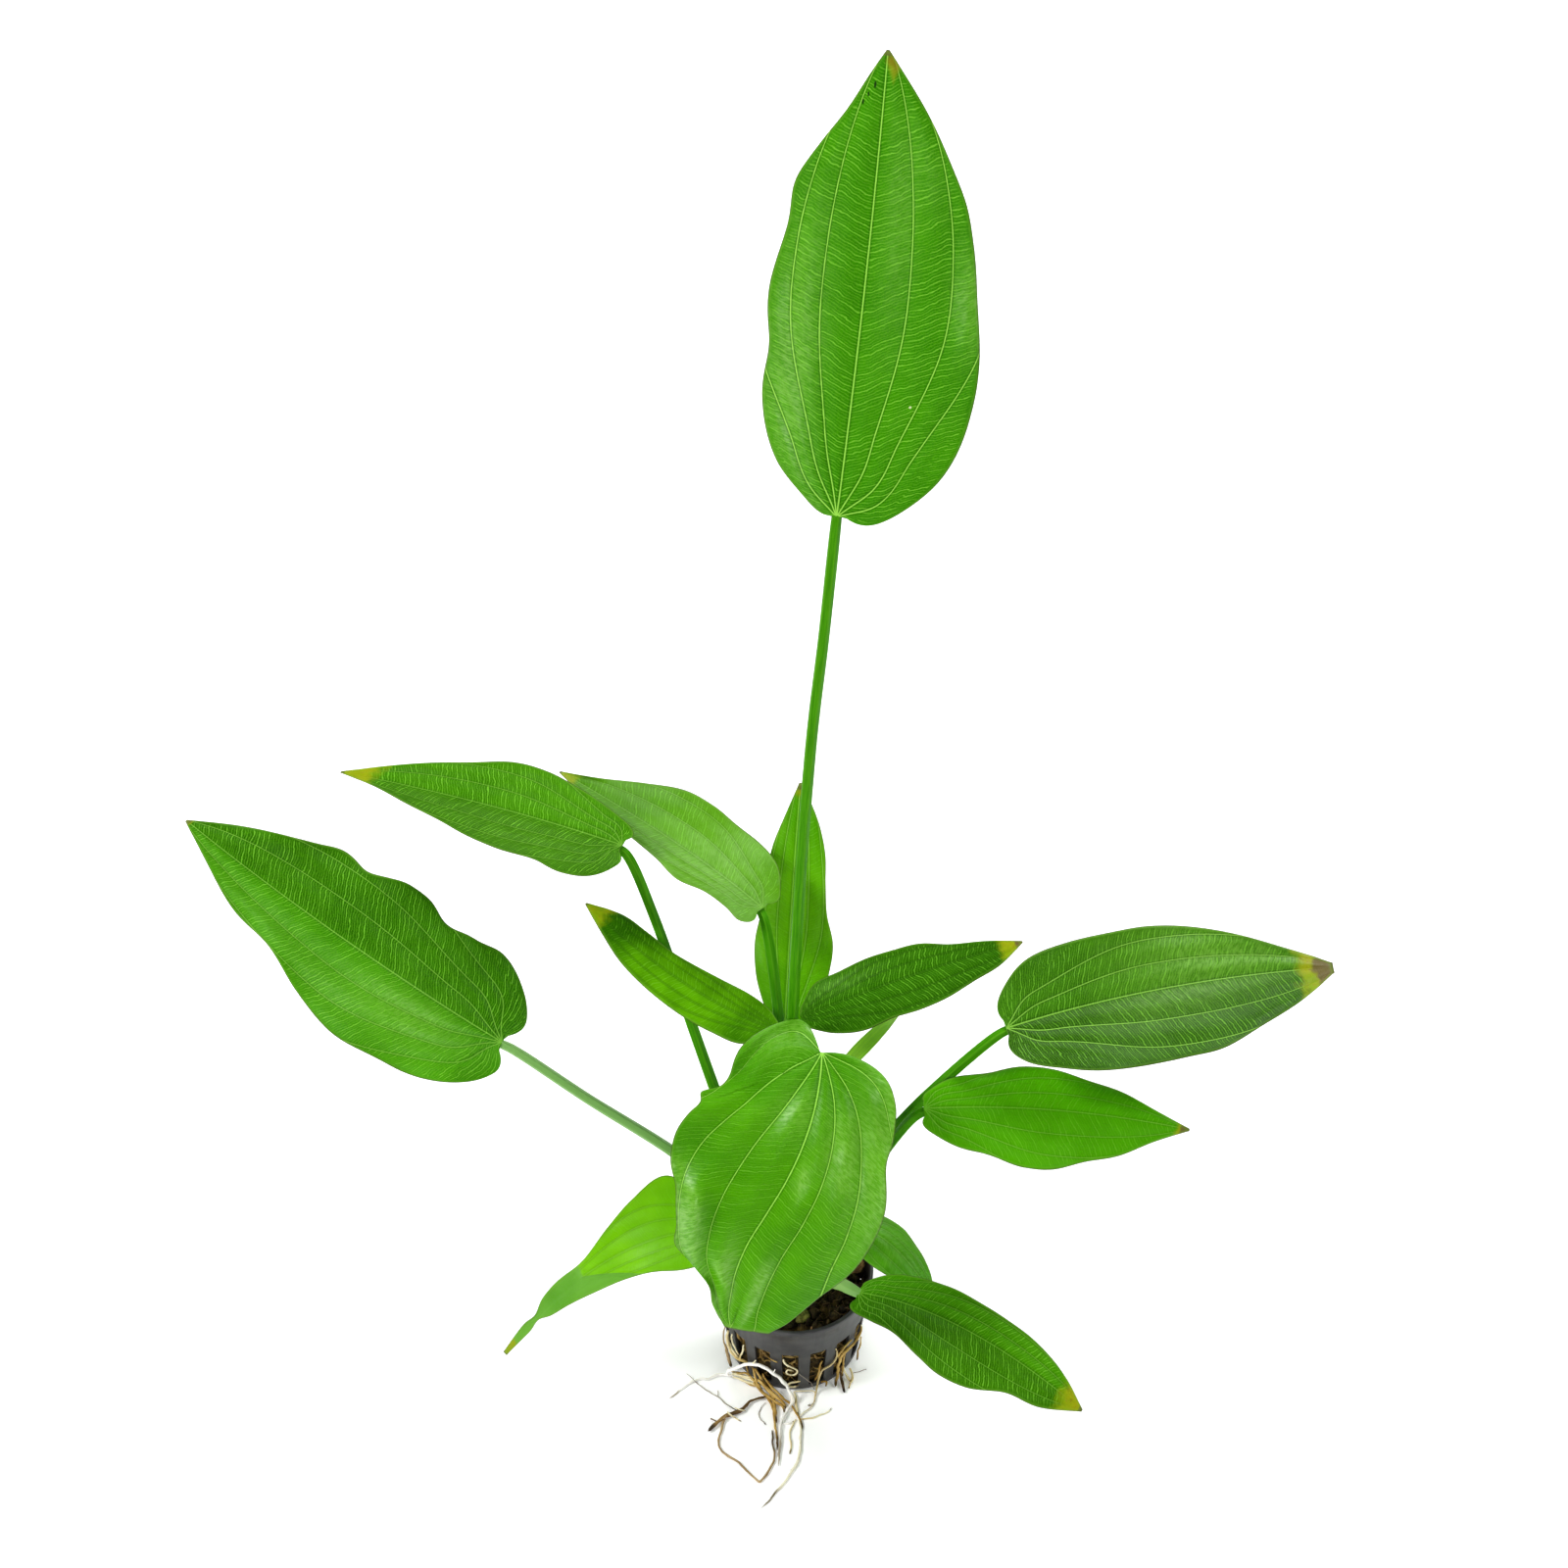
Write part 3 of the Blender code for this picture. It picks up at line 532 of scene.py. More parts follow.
def halfWidths(leaf, t):
    # half widths to the left and right of the midrib, eased through the stations on the square root of t
    stations = np.sqrt(blade["stations"])
    sides = zip(("left", "right"), leaf["points"] or (blade["point"],) * 2)
    return [ease(np.sqrt(t), stations, (blade["neck"], *leaf[key], point)) for key, point in sides]


def evenWidths(leaf, t):
    # the same widths without their waves, as a quartic in the square root of t fitted to them
    line = np.linspace(0, 1, 200) ** 1.6
    fits = [np.polyfit(np.sqrt(line), width, 4) for width in halfWidths(leaf, line)]
    return [np.maximum(np.polyval(fit, np.sqrt(t)), 0.5) for fit in fits]


def veinCount(place, places):
    # number of the vein at a place, going on evenly past the last one, and the step to the next
    steps = np.diff(places)
    i = np.clip(np.searchsorted(places, place, side="right") - 1, 0, len(steps) - 1)
    return i + (place - np.asarray(places)[i]) / steps[i], steps[i]


def veinPlaces(leaf, t, offset, far, reached, even):
    # main veins fan out from the foot at their angles, then run at their shares of the width; gives the
    # number of the vein at each place, below 0 on the left, and the gap to the next
    widest = max(leaf["left"] + leaf["right"])
    spread = even * ease(t, *blade["swell"])
    angle = np.degrees(np.arctan2(np.abs(offset), reached))
    fanned = 1 - smooth(2, leaf.get("fan", 0.8 * widest), far)
    vein, gap = np.zeros_like(t), np.zeros_like(t)
    for sign, angles, shares in zip((-1, 1), leaf["angles"], leaf["shares"]):
        fan, fanStep = veinCount(angle, (0, *angles))
        run, runStep = veinCount(np.abs(offset) / spread, (0, *shares))
        here = (offset < 0) == (sign < 0)
        vein = np.where(here, sign * (fan * fanned + run * (1 - fanned)), vein)
        gap = np.where(here, np.radians(fanStep) * far * fanned + runStep * spread * (1 - fanned), gap)
    return vein, np.maximum(gap, 0.3)


def bladeWave(leaf, t, u, length, half, even):
    # how far the blade moves towards the viewer: sines along the margins, a fold on the midrib, drooping
    # margins and single folds, all fading at foot and tip, and a step at the crease
    start, end = blade["waveEnds"]
    fade = smooth(0, start, t) * (1 - smooth(end, 1, t))
    wave = np.zeros_like(t)
    for sign, (height, size, phase) in zip((-1, 1), leaf["waves"]):
        wave += np.where(u * sign > 0, height * np.sin(fullTurn * (t * length) / size + phase), 0)
    wave *= np.abs(u) ** blade["waveBend"] * fade
    wave += leaf["vee"] * (np.sqrt((half * np.abs(u)) ** 2 + 4) - 2) * fade
    for sign, start, amount in leaf["droop"]:
        wave -= amount * np.maximum(u * sign - start, 0) ** 1.5 * half * fade
    if leaf["crease"]:
        start, slant, drop = leaf["crease"]
        past = t - start - slant * np.minimum(half * u, 0)
        wave -= drop * smooth(-0.005, 0.012, past) * (1 - smooth(0.02, 0.2, past))
    for foldT, foldU, foldLength, foldWidth, height in leaf["folds"]:
        down = (t - foldT) * length / foldLength
        over = (u - foldU) * even / foldWidth
        wave += height * np.exp(-down**2 - over**2) * fade
    return wave


def bladeSurface(leaf, t, u, above):
    # the blade's skin: from the midrib out to each side by the half width times u, raised towards the
    # margins by cup, with the lobes drawn back past the foot; then waves along the viewer's line of
    # sight, so that the outline stays, and grooves on the main veins, above and below
    place, way, rise, side = bladeFrame(leaf, t)
    length = along(midrib(leaf, np.linspace(0, 1, 60))[0])[-1]
    half = np.where(u < 0, *halfWidths(leaf, t))
    for sign, at, size, amount in leaf["nicks"]:
        half = half + (u * sign > 0) * amount * bell((t - at) * length / size) * smooth(0, 0.5, np.abs(u))
    if leaf["points"]:
        half = half * (1 - blade["pinch"] * smooth(blade["pinchFrom"], 1, t) ** 2)
    out = half * np.abs(u)
    lift = leaf["cup"] * half * np.abs(u) ** blade["cupBend"]
    rounded = blade["lobeRound"] * max(leaf["left"] + leaf["right"])
    share = (out - np.where(u < 0, *leaf["sinus"])) / rounded
    share = np.clip(share, 0, 1)
    atFoot = np.clip(1 - t / blade["lobeReach"], 0, 1)
    back = np.where(u < 0, *leaf["lobes"]) * share * (2 - share) * atFoot**2
    points = place + side * (half * u)[..., None] + rise * lift[..., None] - way * back[..., None]
    even = np.where(u < 0, *evenWidths(leaf, t))
    reached = t * length - back
    offset = half * u - ease(t, *leaf["sway"]) * (1 - u**2)
    vein, gap = veinPlaces(leaf, t, offset, np.hypot(out, reached), reached, even)
    count = np.abs(vein)
    near = np.abs(count - np.round(count)) * gap
    isMain = np.round(count) <= leaf["veins"]
    inside = 1 - smooth(leaf["veins"] + 0.4, leaf["veins"] + 1, count)
    deep = blade["arch"] * np.minimum(gap, blade["widestArch"]) * leaf["quilt"] * inside
    arch = -deep * np.cos(fullTurn * vein) * smooth(0, 6, (1 - t) * length)
    cut = bell(near / (0.3 * np.minimum(gap / 2, 3.0) + 0.2)) * isMain * np.clip(gap / 4, 0, 1)
    groove = arch - blade["groove"] * leaf["quilt"] * cut
    edge = half * (1 - np.abs(u))
    thin = blade["thinTip"]
    tipward = np.where(t > 1 - thin, (1 - t) / thin * 0.7 + 0.3, 1)
    thick = blade["thickness"] / 2 * (0.25 + 0.75 * np.clip(edge / blade["thinEdge"], 0, 1)) * tipward
    thick = np.where(np.abs(u) >= 1, 0, thick)
    rib = (blade["rib"] * (1 - t) + 0.05) * bell(near / 0.5) * isMain * (count < 0.5)
    skin = np.where(above, thick, -thick - rib) + groove
    sight = unit(np.asarray(camera["place"]) - points)
    points = points + sight * bladeWave(leaf, t, u, length, half, even)[..., None] + rise * skin[..., None]
    sheen = 0
    for overU, overT, wide, long, strong in leaf["sheen"]:
        sheen = sheen + strong * np.exp(-(((u - overU) / wide) ** 2) - ((t - overT) / long) ** 2)
    attributes = {
        "bladePlace": (half * u, t * length, t),
        "veinPlace": (vein, gap, np.minimum(edge, (1 - t) * length * 0.6)),
        "bladeSide": (above * 1.0, u, np.clip(sheen, 0, 1)),
    }
    return points, {key: np.stack(np.broadcast_arrays(*values), -1) for key, values in attributes.items()}


def makeBlade(name, leaf, finish):
    rows, columns = leaf["grid"]
    across = np.linspace(-1, 1, columns + 1)
    loop = np.concatenate([across, across[-2:0:-1]])  # over the upper side, then back under the lower one
    size = len(loop)
    t, u = np.meshgrid(np.linspace(0, 1, rows + 1) ** blade["crowding"], loop, indexing="ij")
    points, attributes = bladeSurface(leaf, t, u, np.arange(size) <= columns)
    i = np.arange(columns)
    low = np.concatenate([[0], size - np.arange(1, columns), [columns]])
    footCap = np.stack([i, low[i], low[i + 1], i + 1], -1)
    tipCap = np.stack([i, i + 1, low[i + 1], low[i]], -1) + rows * size
    corners = [footCap[:1, [0, 2, 3]], footCap[-1:, [0, 1, 2]], tipCap[:1, [0, 1, 2]], tipCap[-1:, [0, 1, 3]]]
    quads = np.concatenate([closedRings(rows + 1, size)[0], footCap[1:-1], tipCap[1:-1]])
    faces = [quads, np.concatenate(corners)]
    return addMesh("blade_" + name, points, faces, finish, ["leaf_" + name], attributes)


# colours of the leaves' details in red, green and blue; flecked is the flecked leaf's even share of gloss

# paintedSheen is a painted sheen; crease is the painted shade and sheen past a crease
leafTones = {
    "net": (0.17, 0.52, 0.01), "rung": (0.26, 0.64, 0.06), "vein": (0.38, 0.78, 0.11),
    "paintedSheen": (0.27, 0.58, 0.07), "crease": ((0.075, 0.28, 0.006), (0.17, 0.43, 0.05)),
    "yellow": ((0.36, 0.38, 0.012), (0.24, 0.36, 0.008)), "speck": (0.28, 0.15, 0.02),
    "scorch": ((0.36, 0.42, 0.02), (0.33, 0.19, 0.02)), "dead": (0.16, 0.115, 0.05),
    "band": (0.22, 0.44, 0.06), "rim": (0.10, 0.075, 0.045), "under": (0.13, 0.36, 0.05),
    "underVein": (0.24, 0.50, 0.12), "underRung": (0.17, 0.40, 0.07), "lit": (0.25, 0.62, 0.01),
    "flecked": 0.4,
}

# ladder veins: how far apart, how far they wander, how far they leap and lean between two main veins

ladder = {"spacing": 1.75, "wobble": 2.8, "jitter": 1.3, "leap": 0.22, "slope": 0.24}


def leafFinish(name, leaf, seed):
    f = Finish("leafGreen_" + name)
    across, travelled, t = f.attribute("bladePlace")
    vein, gap, edge = f.attribute("veinPlace")
    above, _, sheen = f.attribute("bladeSide")
    flat = f.vector(across, travelled, seed)
    wide = f.noise(flat, 0.035)
    cloud = f.noise(flat, 0.16, 3.0)
    # main veins
    count = abs(vein)
    near = count.nearest() * gap
    width = 0.20 + (1 - count.within(0.3, 0.5)) * leaf["midrib"] - t * 0.07
    inside = 1 - count.within(leaf["veins"] + 0.3, leaf["veins"] + 0.5)
    main = (1 - (near / width).within(0.55, 1.25)) * inside
    shade = (1 - (near / width).within(1.0, 4.5)) * inside
    # ladder veins between them, leaving each main vein towards the tip
    number = count.sum("FLOOR", count)
    step = count - number
    wobble = f.noise(f.vector(across * 0.09, travelled * 0.07, seed), 1.0) - 0.5
    lean = step.within(0.0, 1.0) * ladder["leap"] + step * ladder["slope"]
    jitter = f.noise(f.vector(across * 0.42, travelled * 0.42, seed + 2.0), 1.0) - 0.5
    rung = travelled - lean * gap + wobble * ladder["wobble"] + jitter * ladder["jitter"]
    rung = rung / ladder["spacing"]
    strong = f.noise(f.vector(rung.sum("ROUND", rung) * 3.1, number * 5.3, step * 0.9), 1.0, 1.0)
    rungs = (1 - (rung.nearest() * ladder["spacing"]).within(0.04, 0.28)) * strong.within(0.30, 0.58)
    finer = (1 - ((rung * 2.0).nearest() * 0.9).within(0.03, 0.20)) * 0.4
    rungs = rungs.sum("MAXIMUM", rungs, finer) * edge.within(0.4, 2.0)
    cells = {"Vector": f.vector(across * 1.3, travelled * 1.7, seed), "Scale": 1.0}
    net = 1 - f.add("ShaderNodeTexVoronoi", {"feature": "DISTANCE_TO_EDGE"}, cells).within(0.0, 0.16)
    # greens of the panels, then of the veins
    panel, light = leaf["greens"]
    veinGlow, rungGlow, gloss = leaf["bold"]
    green = f.mix(wide.within(0.3, 0.7), panel, light)
    green = f.mix(cloud.within(0.35, 0.7) * 0.25, green, shaded(panel, 0.8))
    # painted shade: the tones make one half of the blade darker than the other, for the way each side of the
    # fold faces the light
    low, high = leaf["tones"]
    green = f.mix(1.0, green, f.mix(across.within(-2, 2), (low,) * 3, (high,) * 3), "MULTIPLY")
    # painted sheen: the glossy patches also turn the green paler, besides the coat that they get
    streaks = f.noise(f.vector(across * 0.55, travelled * 0.9 - lean * gap * 0.9, seed + 6.0), 1.0, 4.0, 0.6)
    coatAndPaintedSheen = sheen * (streaks.within(0.36, 0.64) * 0.65 + 0.35)
    green = f.mix(coatAndPaintedSheen * 0.6, green, leafTones["paintedSheen"])
    green = f.mix(net * (0.26 * rungGlow), green, leafTones["net"])
    green = f.mix(rungs * (0.85 * rungGlow), green, leafTones["rung"])
    green = f.mix(shade * leaf.get("dark", 0.25 + 0.3 * veinGlow), green, shaded(panel, 0.5))
    green = f.mix(main * veinGlow, green, leafTones["vein"])
    for aside, far, markWidth, markLength, tone in leaf["marks"]:
        x, y = (across - aside) / markWidth, (travelled - far) / markLength
        green = f.mix((1 - (x * x + y * y).within(0.5, 1.2)) * 0.9, green, tone)
    # painted shade and sheen: past the crease the blade is coloured darker or bluer, for the part that bends
    # away from the light
    if leaf["crease"]:
        start, slant, _ = leaf["crease"]
        pastCreasePaintedShade = (t - across.sum("MINIMUM", across, 0.0) * slant).within(start - 0.006, start + 0.006)
        green = f.mix(pastCreasePaintedShade, green, f.mix(wide.within(0.35, 0.65), *leafTones["crease"]))
    # dry tips, thin brown line and pale band along the margin
    wander = f.noise(f.vector(across * 0.22, travelled * 0.22, seed + 4.0), 1.0, 3.0) - 0.5
    yellow, brown = leaf["yellow"], leaf["brown"]
    if yellow > 0:
        dry = (t + wander * yellow * 0.9).within(1 - yellow * 1.2, 1 - yellow * 0.75)
        specks = f.noise(flat, 1.3).within(0.62, 0.7) * 0.5
        tone = f.mix(cloud.within(0.3, 0.7), *leafTones["yellow"])
        green = f.mix(dry, green, f.mix(specks, tone, leafTones["speck"]))
    if leaf["scorch"]:
        at, aside, size = leaf["scorch"]
        patch = (1 - (abs(t - at) * 90 / size + abs(across - aside) / 3).within(0.4, 1.0)) * 0.75
        green = f.mix(patch, green, f.mix(cloud.within(0.3, 0.7), *leafTones["scorch"]))
    if brown > 0:
        dead = (t + wander * brown * 1.2).within(1 - brown * 1.15, 1 - brown * 0.8)
        green = f.mix(dead * 0.9, green, leafTones["dead"])
    green = f.mix((1 - edge.within(0.3, 1.1)) * 0.35, green, leafTones["band"])
    green = f.mix((1 - edge.within(0.04, 0.22)) * 0.75, green, leafTones["rim"])
    under = f.mix(main * 0.6, leafTones["under"], leafTones["underVein"])
    under = f.mix(rungs * 0.3, under, leafTones["underRung"])
    quilt = leaf["quilt"]
    relief = main * 0.05 - shade * 0.10 * quilt - rungs * 0.09 * quilt - net * 0.015 + streaks * 0.16 * quilt
    relief = relief + (1 - (rung.nearest() * 2.0) ** 2.0) * 0.02 * quilt
    relief = relief + f.noise(flat, 2.2, 3.0) * 0.02 + cloud * 0.5 * quilt
    drift = leafTones["flecked"] if leaf["marks"] else wide  # the flecked leaf's gloss doesn't drift
    roughness = 0.24 + drift * 0.10 + net * 0.04 + (1 - above) * 0.24
    through = [0.5 * a + 0.25 * b + 0.25 * c for a, b, c in zip(panel, light, leafTones["lit"])]
    fixed = {"Specular IOR Level": gloss, "Coat Roughness": 0.34, "Coat IOR": 1.7}
    green = f.mix(above, under, green)
    return f.close(green, roughness, f.bump(relief), fixed, (0.2, through), coatAndPaintedSheen * above * 0.6)


leaves = {name: {**plainLeaf, **own} for name, own in leaves.items()}
for seed, (name, leaf) in enumerate(leaves.items()):
    makeBlade(name, leaf, leafFinish(name, leaf, 3.7 * seed + 1.3))
print("blades made:", len(leaves))


# Stalks: thick and sheathing at the crown, ribbed on the way, running on under the blade as its midrib

stalk = {
    "footRadius": 2.3, "radius": 1.95, "topRadius": 1.5, "ribs": 5, "ribDepth": 0.06, "sides": 42,
    "steps": 150, "sheath": 26, "sunk": 3.5, "upright": 2.5, "short": 3.5, "below": 0.45,
    "under": (0.02, 0.06, 0.11, 0.17, 0.24), "taper": (0.86, 0.6, 0.4, 0.24, 0.08),
    "greens": ((0.046, 0.22, 0.002), (0.075, 0.29, 0.004)), "crest": (0.16, 0.42, 0.03),
    # pale is a painted sheen: the paler, greyer green that stands in for the highlight on the shining stalks
    "pale": (0.24, 0.44, 0.14), "foot": (0.34, 0.42, 0.13), "brown": (0.16, 0.10, 0.03),
    "lit": (0.09, 0.33, 0.01),
    "paintedSheenOnes": ("far_left", "low_right"),
}


def stalkFinish(name, pale, gloss):
    f = Finish(name)
    turn, travelled, _ = f.attribute("stalkPlace")
    shape = f.vector(turn * 2.0, travelled * 0.05, 0.0)
    crest = 1 - (turn * (stalk["ribs"] / fullTurn)).nearest().within(0.03, 0.20)
    streak = f.noise(shape, 1.6, 3.0)
    green = f.mix(streak.within(0.35, 0.65), *stalk["greens"])
    green = f.mix(crest * 0.3, green, stalk["crest"])
    # painted sheen: a paler green on the shining stalks, besides their gloss
    green = f.mix(pale, green, stalk["pale"])
    green = f.mix((1 - travelled.within(4.0, 30.0)) * 0.55, green, stalk["foot"])
    brown = (1 - travelled.within(1.0, 9.0)) * f.noise(shape, 2.4, 3.0).within(0.4, 0.6)
    green = f.mix(brown * 0.7, green, stalk["brown"])
    relief = crest * 0.06 + f.noise(shape, 9.0, 3.0) * 0.05
    fixed = {"Specular IOR Level": gloss}
    return f.close(green, 0.36 + streak * 0.12, f.bump(relief), fixed, (0.08, stalk["lit"]))


def makeStalk(name, leaf, finish):
    # from inside the crown straight up, then through the stalk's points to the blade's foot and on along
    # the underside of the midrib, its radius falling to nothing there
    ring, azimuth = leaf["crown"]
    base = polar(blade[ring], math.radians(azimuth), blade["crownTop"])
    foot, last = np.array(leaf["line"][0], float), np.array(leaf["stalk"][-1], float)
    end = foot + unit(last - foot) * stalk["short"]
    place, _, rise, _ = bladeFrame(leaf, np.array(stalk["under"]))
    thin = stalk["topRadius"] * np.array(stalk["taper"])
    ribs = place - rise * (thin * 1.08 + stalk["below"])[:, None]
    rooted = [base - (0, 0, stalk["sunk"]), base, base + (0, 0, stalk["upright"])]
    middle = np.vstack([*rooted, leaf["stalk"], end, ribs])
    travelled = along(middle)
    stops = (0, 4, stalk["sheath"], travelled[-len(thin) - 1])
    wide = (stalk["footRadius"] * 1.1, stalk["footRadius"], stalk["radius"], stalk["topRadius"])
    thick = np.interp(travelled, stops, wide)
    thick[-len(thin):] = thin
    path = pathThrough(np.column_stack([middle, thick]), stalk["steps"])
    points, faces, spots = tube(path[:, :3], path[:, 3], stalk["sides"], stalk["ribs"], stalk["ribDepth"])
    attributes = {"stalkPlace": spots}
    return addMesh("stem_" + name, points, faces, finish, ["stalk_" + name], attributes)


stalkGreen = stalkFinish("stalkGreen", 0.0, 0.05)
stalkGlossAndPaintedSheen = stalkFinish("stalkGlossAndPaintedSheen", 0.7, 0.4)
for name, leaf in leaves.items():
    makeStalk(name, leaf, stalkGlossAndPaintedSheen if name in stalk["paintedSheenOnes"] else stalkGreen)
print("stalks made:", len(leaves))


# Net pot: one closed skin turned from its profile, with the slots' cells left open and lined

pot = {
    "height": 39, "topRadius": 26.3, "footRadius": 22.5, "wall": 1.1, "floor": 1.6,
    "lipDepth": 2.4, "lipProud": 0.3, "bevel": 0.22,
    "slots": 16, "slotWidth": 5.4, "slotLow": 3.2, "slotHigh": 23.5, "slotTurn": -93, "slotColumns": 6,
    "barColumns": 5, "black": ((0.026, 0.026, 0.027), (0.050, 0.049, 0.048)), "dust": (0.20, 0.15, 0.08),
}


def wallRadius(height):
    widening = pot["topRadius"] - pot["footRadius"]
    return pot["footRadius"] + widening * np.asarray(height, float) / pot["height"]


def potFinish():
    f = Finish("potPlastic")
    place = f.place()
    x, y, z = f.split(place)
    fine = f.noise(place, 900, 3.0)
    worn = f.noise(place, 160, 4.0, 0.6)
    grey = f.mix(worn.within(0.4, 0.7), *pot["black"])
    dusty = f.noise(place, 420, 5.0, 0.7).within(0.58, 0.78) * (1 - (z * 1000).within(2.0, 16.0))
    grey = f.mix(dusty * 0.5, grey, pot["dust"])
    streak = f.noise(f.vector(x * 500, y * 500, z * 40), 1.0).within(0.45, 0.7)
    roughness = 0.36 + worn * 0.16 + streak * 0.06
    return f.close(grey, roughness, f.bump(fine * 0.02 + worn * 0.03), {"Specular IOR Level": 0.5})


def makePot(finish):
    wall, floor, lip = pot["wall"], pot["floor"], pot["topRadius"] + pot["lipProud"]
    top, under, foot = pot["height"], pot["height"] - pot["lipDepth"], pot["footRadius"]
    rows = np.array([pot["slotLow"], 8, 13, 18, pot["slotHigh"], 30])
    outer = [(wallRadius(h), h) for h in rows]
    inner = [(wallRadius(h) - wall, h) for h in rows[::-1]]
    profile = [(6, 0), (foot - 0.9, 0), (foot - 0.25, 0.25), (wallRadius(1), 1.0), *outer,
               (wallRadius(under), under - 0.3), (lip - 0.25, under), (lip, under + 0.3), (lip, top - 0.6),
               (lip - 0.18, top - 0.16), (lip - 0.6, top), (pot["topRadius"] - wall + 0.5, top),
               (pot["topRadius"] - wall, top - 0.5), (wallRadius(under) - wall, under), *inner,
               (wallRadius(floor) - wall, floor), (6, floor)]
    radius, height = np.array(profile, float).T
    slots, cells = pot["slots"], pot["slotColumns"]
    slotShare = pot["slotWidth"] / (fullTurn * (foot + 1.5) / slots)
    slotTurns = np.linspace(-0.5, 0.5, cells + 1)[:-1] * slotShare
    barTurns = np.linspace(0.5 * slotShare, 1 - 0.5 * slotShare, pot["barColumns"] + 1)[:-1]
    within = np.concatenate([slotTurns, barTurns])
    turn = np.radians(pot["slotTurn"]) + (within + np.arange(slots)[:, None]).ravel() * fullTurn / slots
    columns, count = len(turn), len(profile)
    points = polar(radius[:, None], turn, height[:, None])
    quads, caps = closedRings(count, columns)
    # the slots run over the bands between their rows, outside from firstOut and inside from firstIn
    bands = len(rows) - 2
    firstOut, firstIn = 4, count - 1 - len(rows)
    inSlot = np.tile(np.arange(len(within)) < cells, slots)
    isOpen = np.zeros((count - 1, columns), bool)
    isOpen[firstOut:firstOut + bands] = inSlot
    isOpen[firstIn:firstIn + bands] = inSlot
    skin = quads.reshape(count - 1, columns, 4)[~isOpen]

    def corner(row, column):
        return row * columns + column

    band, start = np.meshgrid(np.arange(bands), np.arange(slots) * len(within), indexing="ij")
    out, back = firstOut + band, firstIn + bands - band  # outer row and inner row at the same height
    linings = []
    for c in (start, start + cells):
        lining = [corner(out, c), corner(back, c), corner(back - 1, c), corner(out + 1, c)]
        linings.append(np.stack(lining, -1).reshape(-1, 4))
    linings[1] = linings[1][:, [0, 3, 2, 1]]
    c = np.arange(columns)[inSlot]
    low, high = (firstOut, firstIn + bands), (firstOut + bands, firstIn)
    sill = [corner(low[0], c), corner(low[0], c + 1), corner(low[1], c + 1), corner(low[1], c)]
    head = [corner(high[0], c), corner(high[1], c), corner(high[1], c + 1), corner(high[0], c + 1)]
    faces = [np.concatenate([skin, *linings, np.stack(sill, -1), np.stack(head, -1)]), caps]
    piece = addMesh("net_pot_moulding", points, faces, finish, ["net_pot"])
    bevel = piece.modifiers.new("Edges", "BEVEL")
    bevel.width = pot["bevel"] * mm
    bevel.segments = 2
    bevel.limit_method = "ANGLE"
    bevel.angle_limit = math.radians(50)
    bevel.harden_normals = True
    return piece


makePot(potFinish())
print("pot made")


# Growing medium: a lumpy plug, clods on its top, and fibres on the top and behind the slots

medium = {
    "edge": 31, "heap": 35, "steps": 130, "sides": 240,
    "clods": 120, "reach": 24.0, "fibres": 340, "slotFibres": 300,
    "rings": (0, 10, 18, 24), "clodHeights": (36, 35, 32.2, 29.6), "fibreHeights": (36.2, 35.4, 32.8, 29.8),
    "fibreLowest": (35.6, 34.8, 32, 29), "unrolled": 23, "clodSizes": (0.7, 2.2),
    "fibreReach": 23.0, "fibreLengths": (2, 6), "fibreRadii": (0.06, 0.16),
    "slotLengths": (3, 11), "slotHeights": (2.6, 27), "slotRadii": (0.42, 0.18),
    "plug": ((0.008, 0.006, 0.002), (0.060, 0.038, 0.007), (0.14, 0.094, 0.020), 420),
    "clod": ((0.010, 0.007, 0.003), (0.05, 0.036, 0.011), (0.10, 0.07, 0.02), 600),
    "fibre": ((0.13, 0.085, 0.03), (0.045, 0.026, 0.008), (0.02, 0.012, 0.004), 0.5),
    "slotRoot": ((0.40, 0.28, 0.09), (0.17, 0.10, 0.02), (0.06, 0.034, 0.008), 0.5),
}

# larger pieces of the medium: tones and grain, centres, sizes and seed
chunks = {
    "brown": (((0.14, 0.08, 0.03), (0.40, 0.25, 0.11), (0.60, 0.44, 0.24), 500),
              ((20.2, 5, 34), (-16, 12, 31), (7, -19, 29.6)),
              ((3.2, 2.8, 2.4), (3, 2.4, 2.2), (2.4, 2, 1.8)), 71),
    "olive": (((0.06, 0.07, 0.012), (0.21, 0.22, 0.045), (0.34, 0.30, 0.10), 500),
              ((15.6, -3, 33.4), (2.6, -15.6, 32.4), (-6, 18, 31.4), (-19, -4, 30.4)),
              ((3.4, 3, 2.6), (4.2, 3.2, 2.6), (3.4, 2.8, 2.6), (2.6, 2.6, 2.2)), 83),
}


def mediumFinish(name, dark, mid, pale, scale):
    f = Finish(name)
    place = f.place()
    grain = f.noise(place, scale, 6.0, 0.7)
    patch = f.noise(place, scale * 0.25, 3.0)
    tone = f.mix(grain.within(0.35, 0.62), dark, mid)
    tone = f.mix(patch.within(0.52, 0.68) * 0.8, tone, pale)
    hairs = f.grain(place, (1800, 260, 1800), 3.0)
    tone = f.mix(hairs.within(0.58, 0.72) * 0.4, tone, pale)
    return f.close(tone, 0.85, f.bump(grain * 0.7 + hairs * 0.3), {"Specular IOR Level": 0.3})


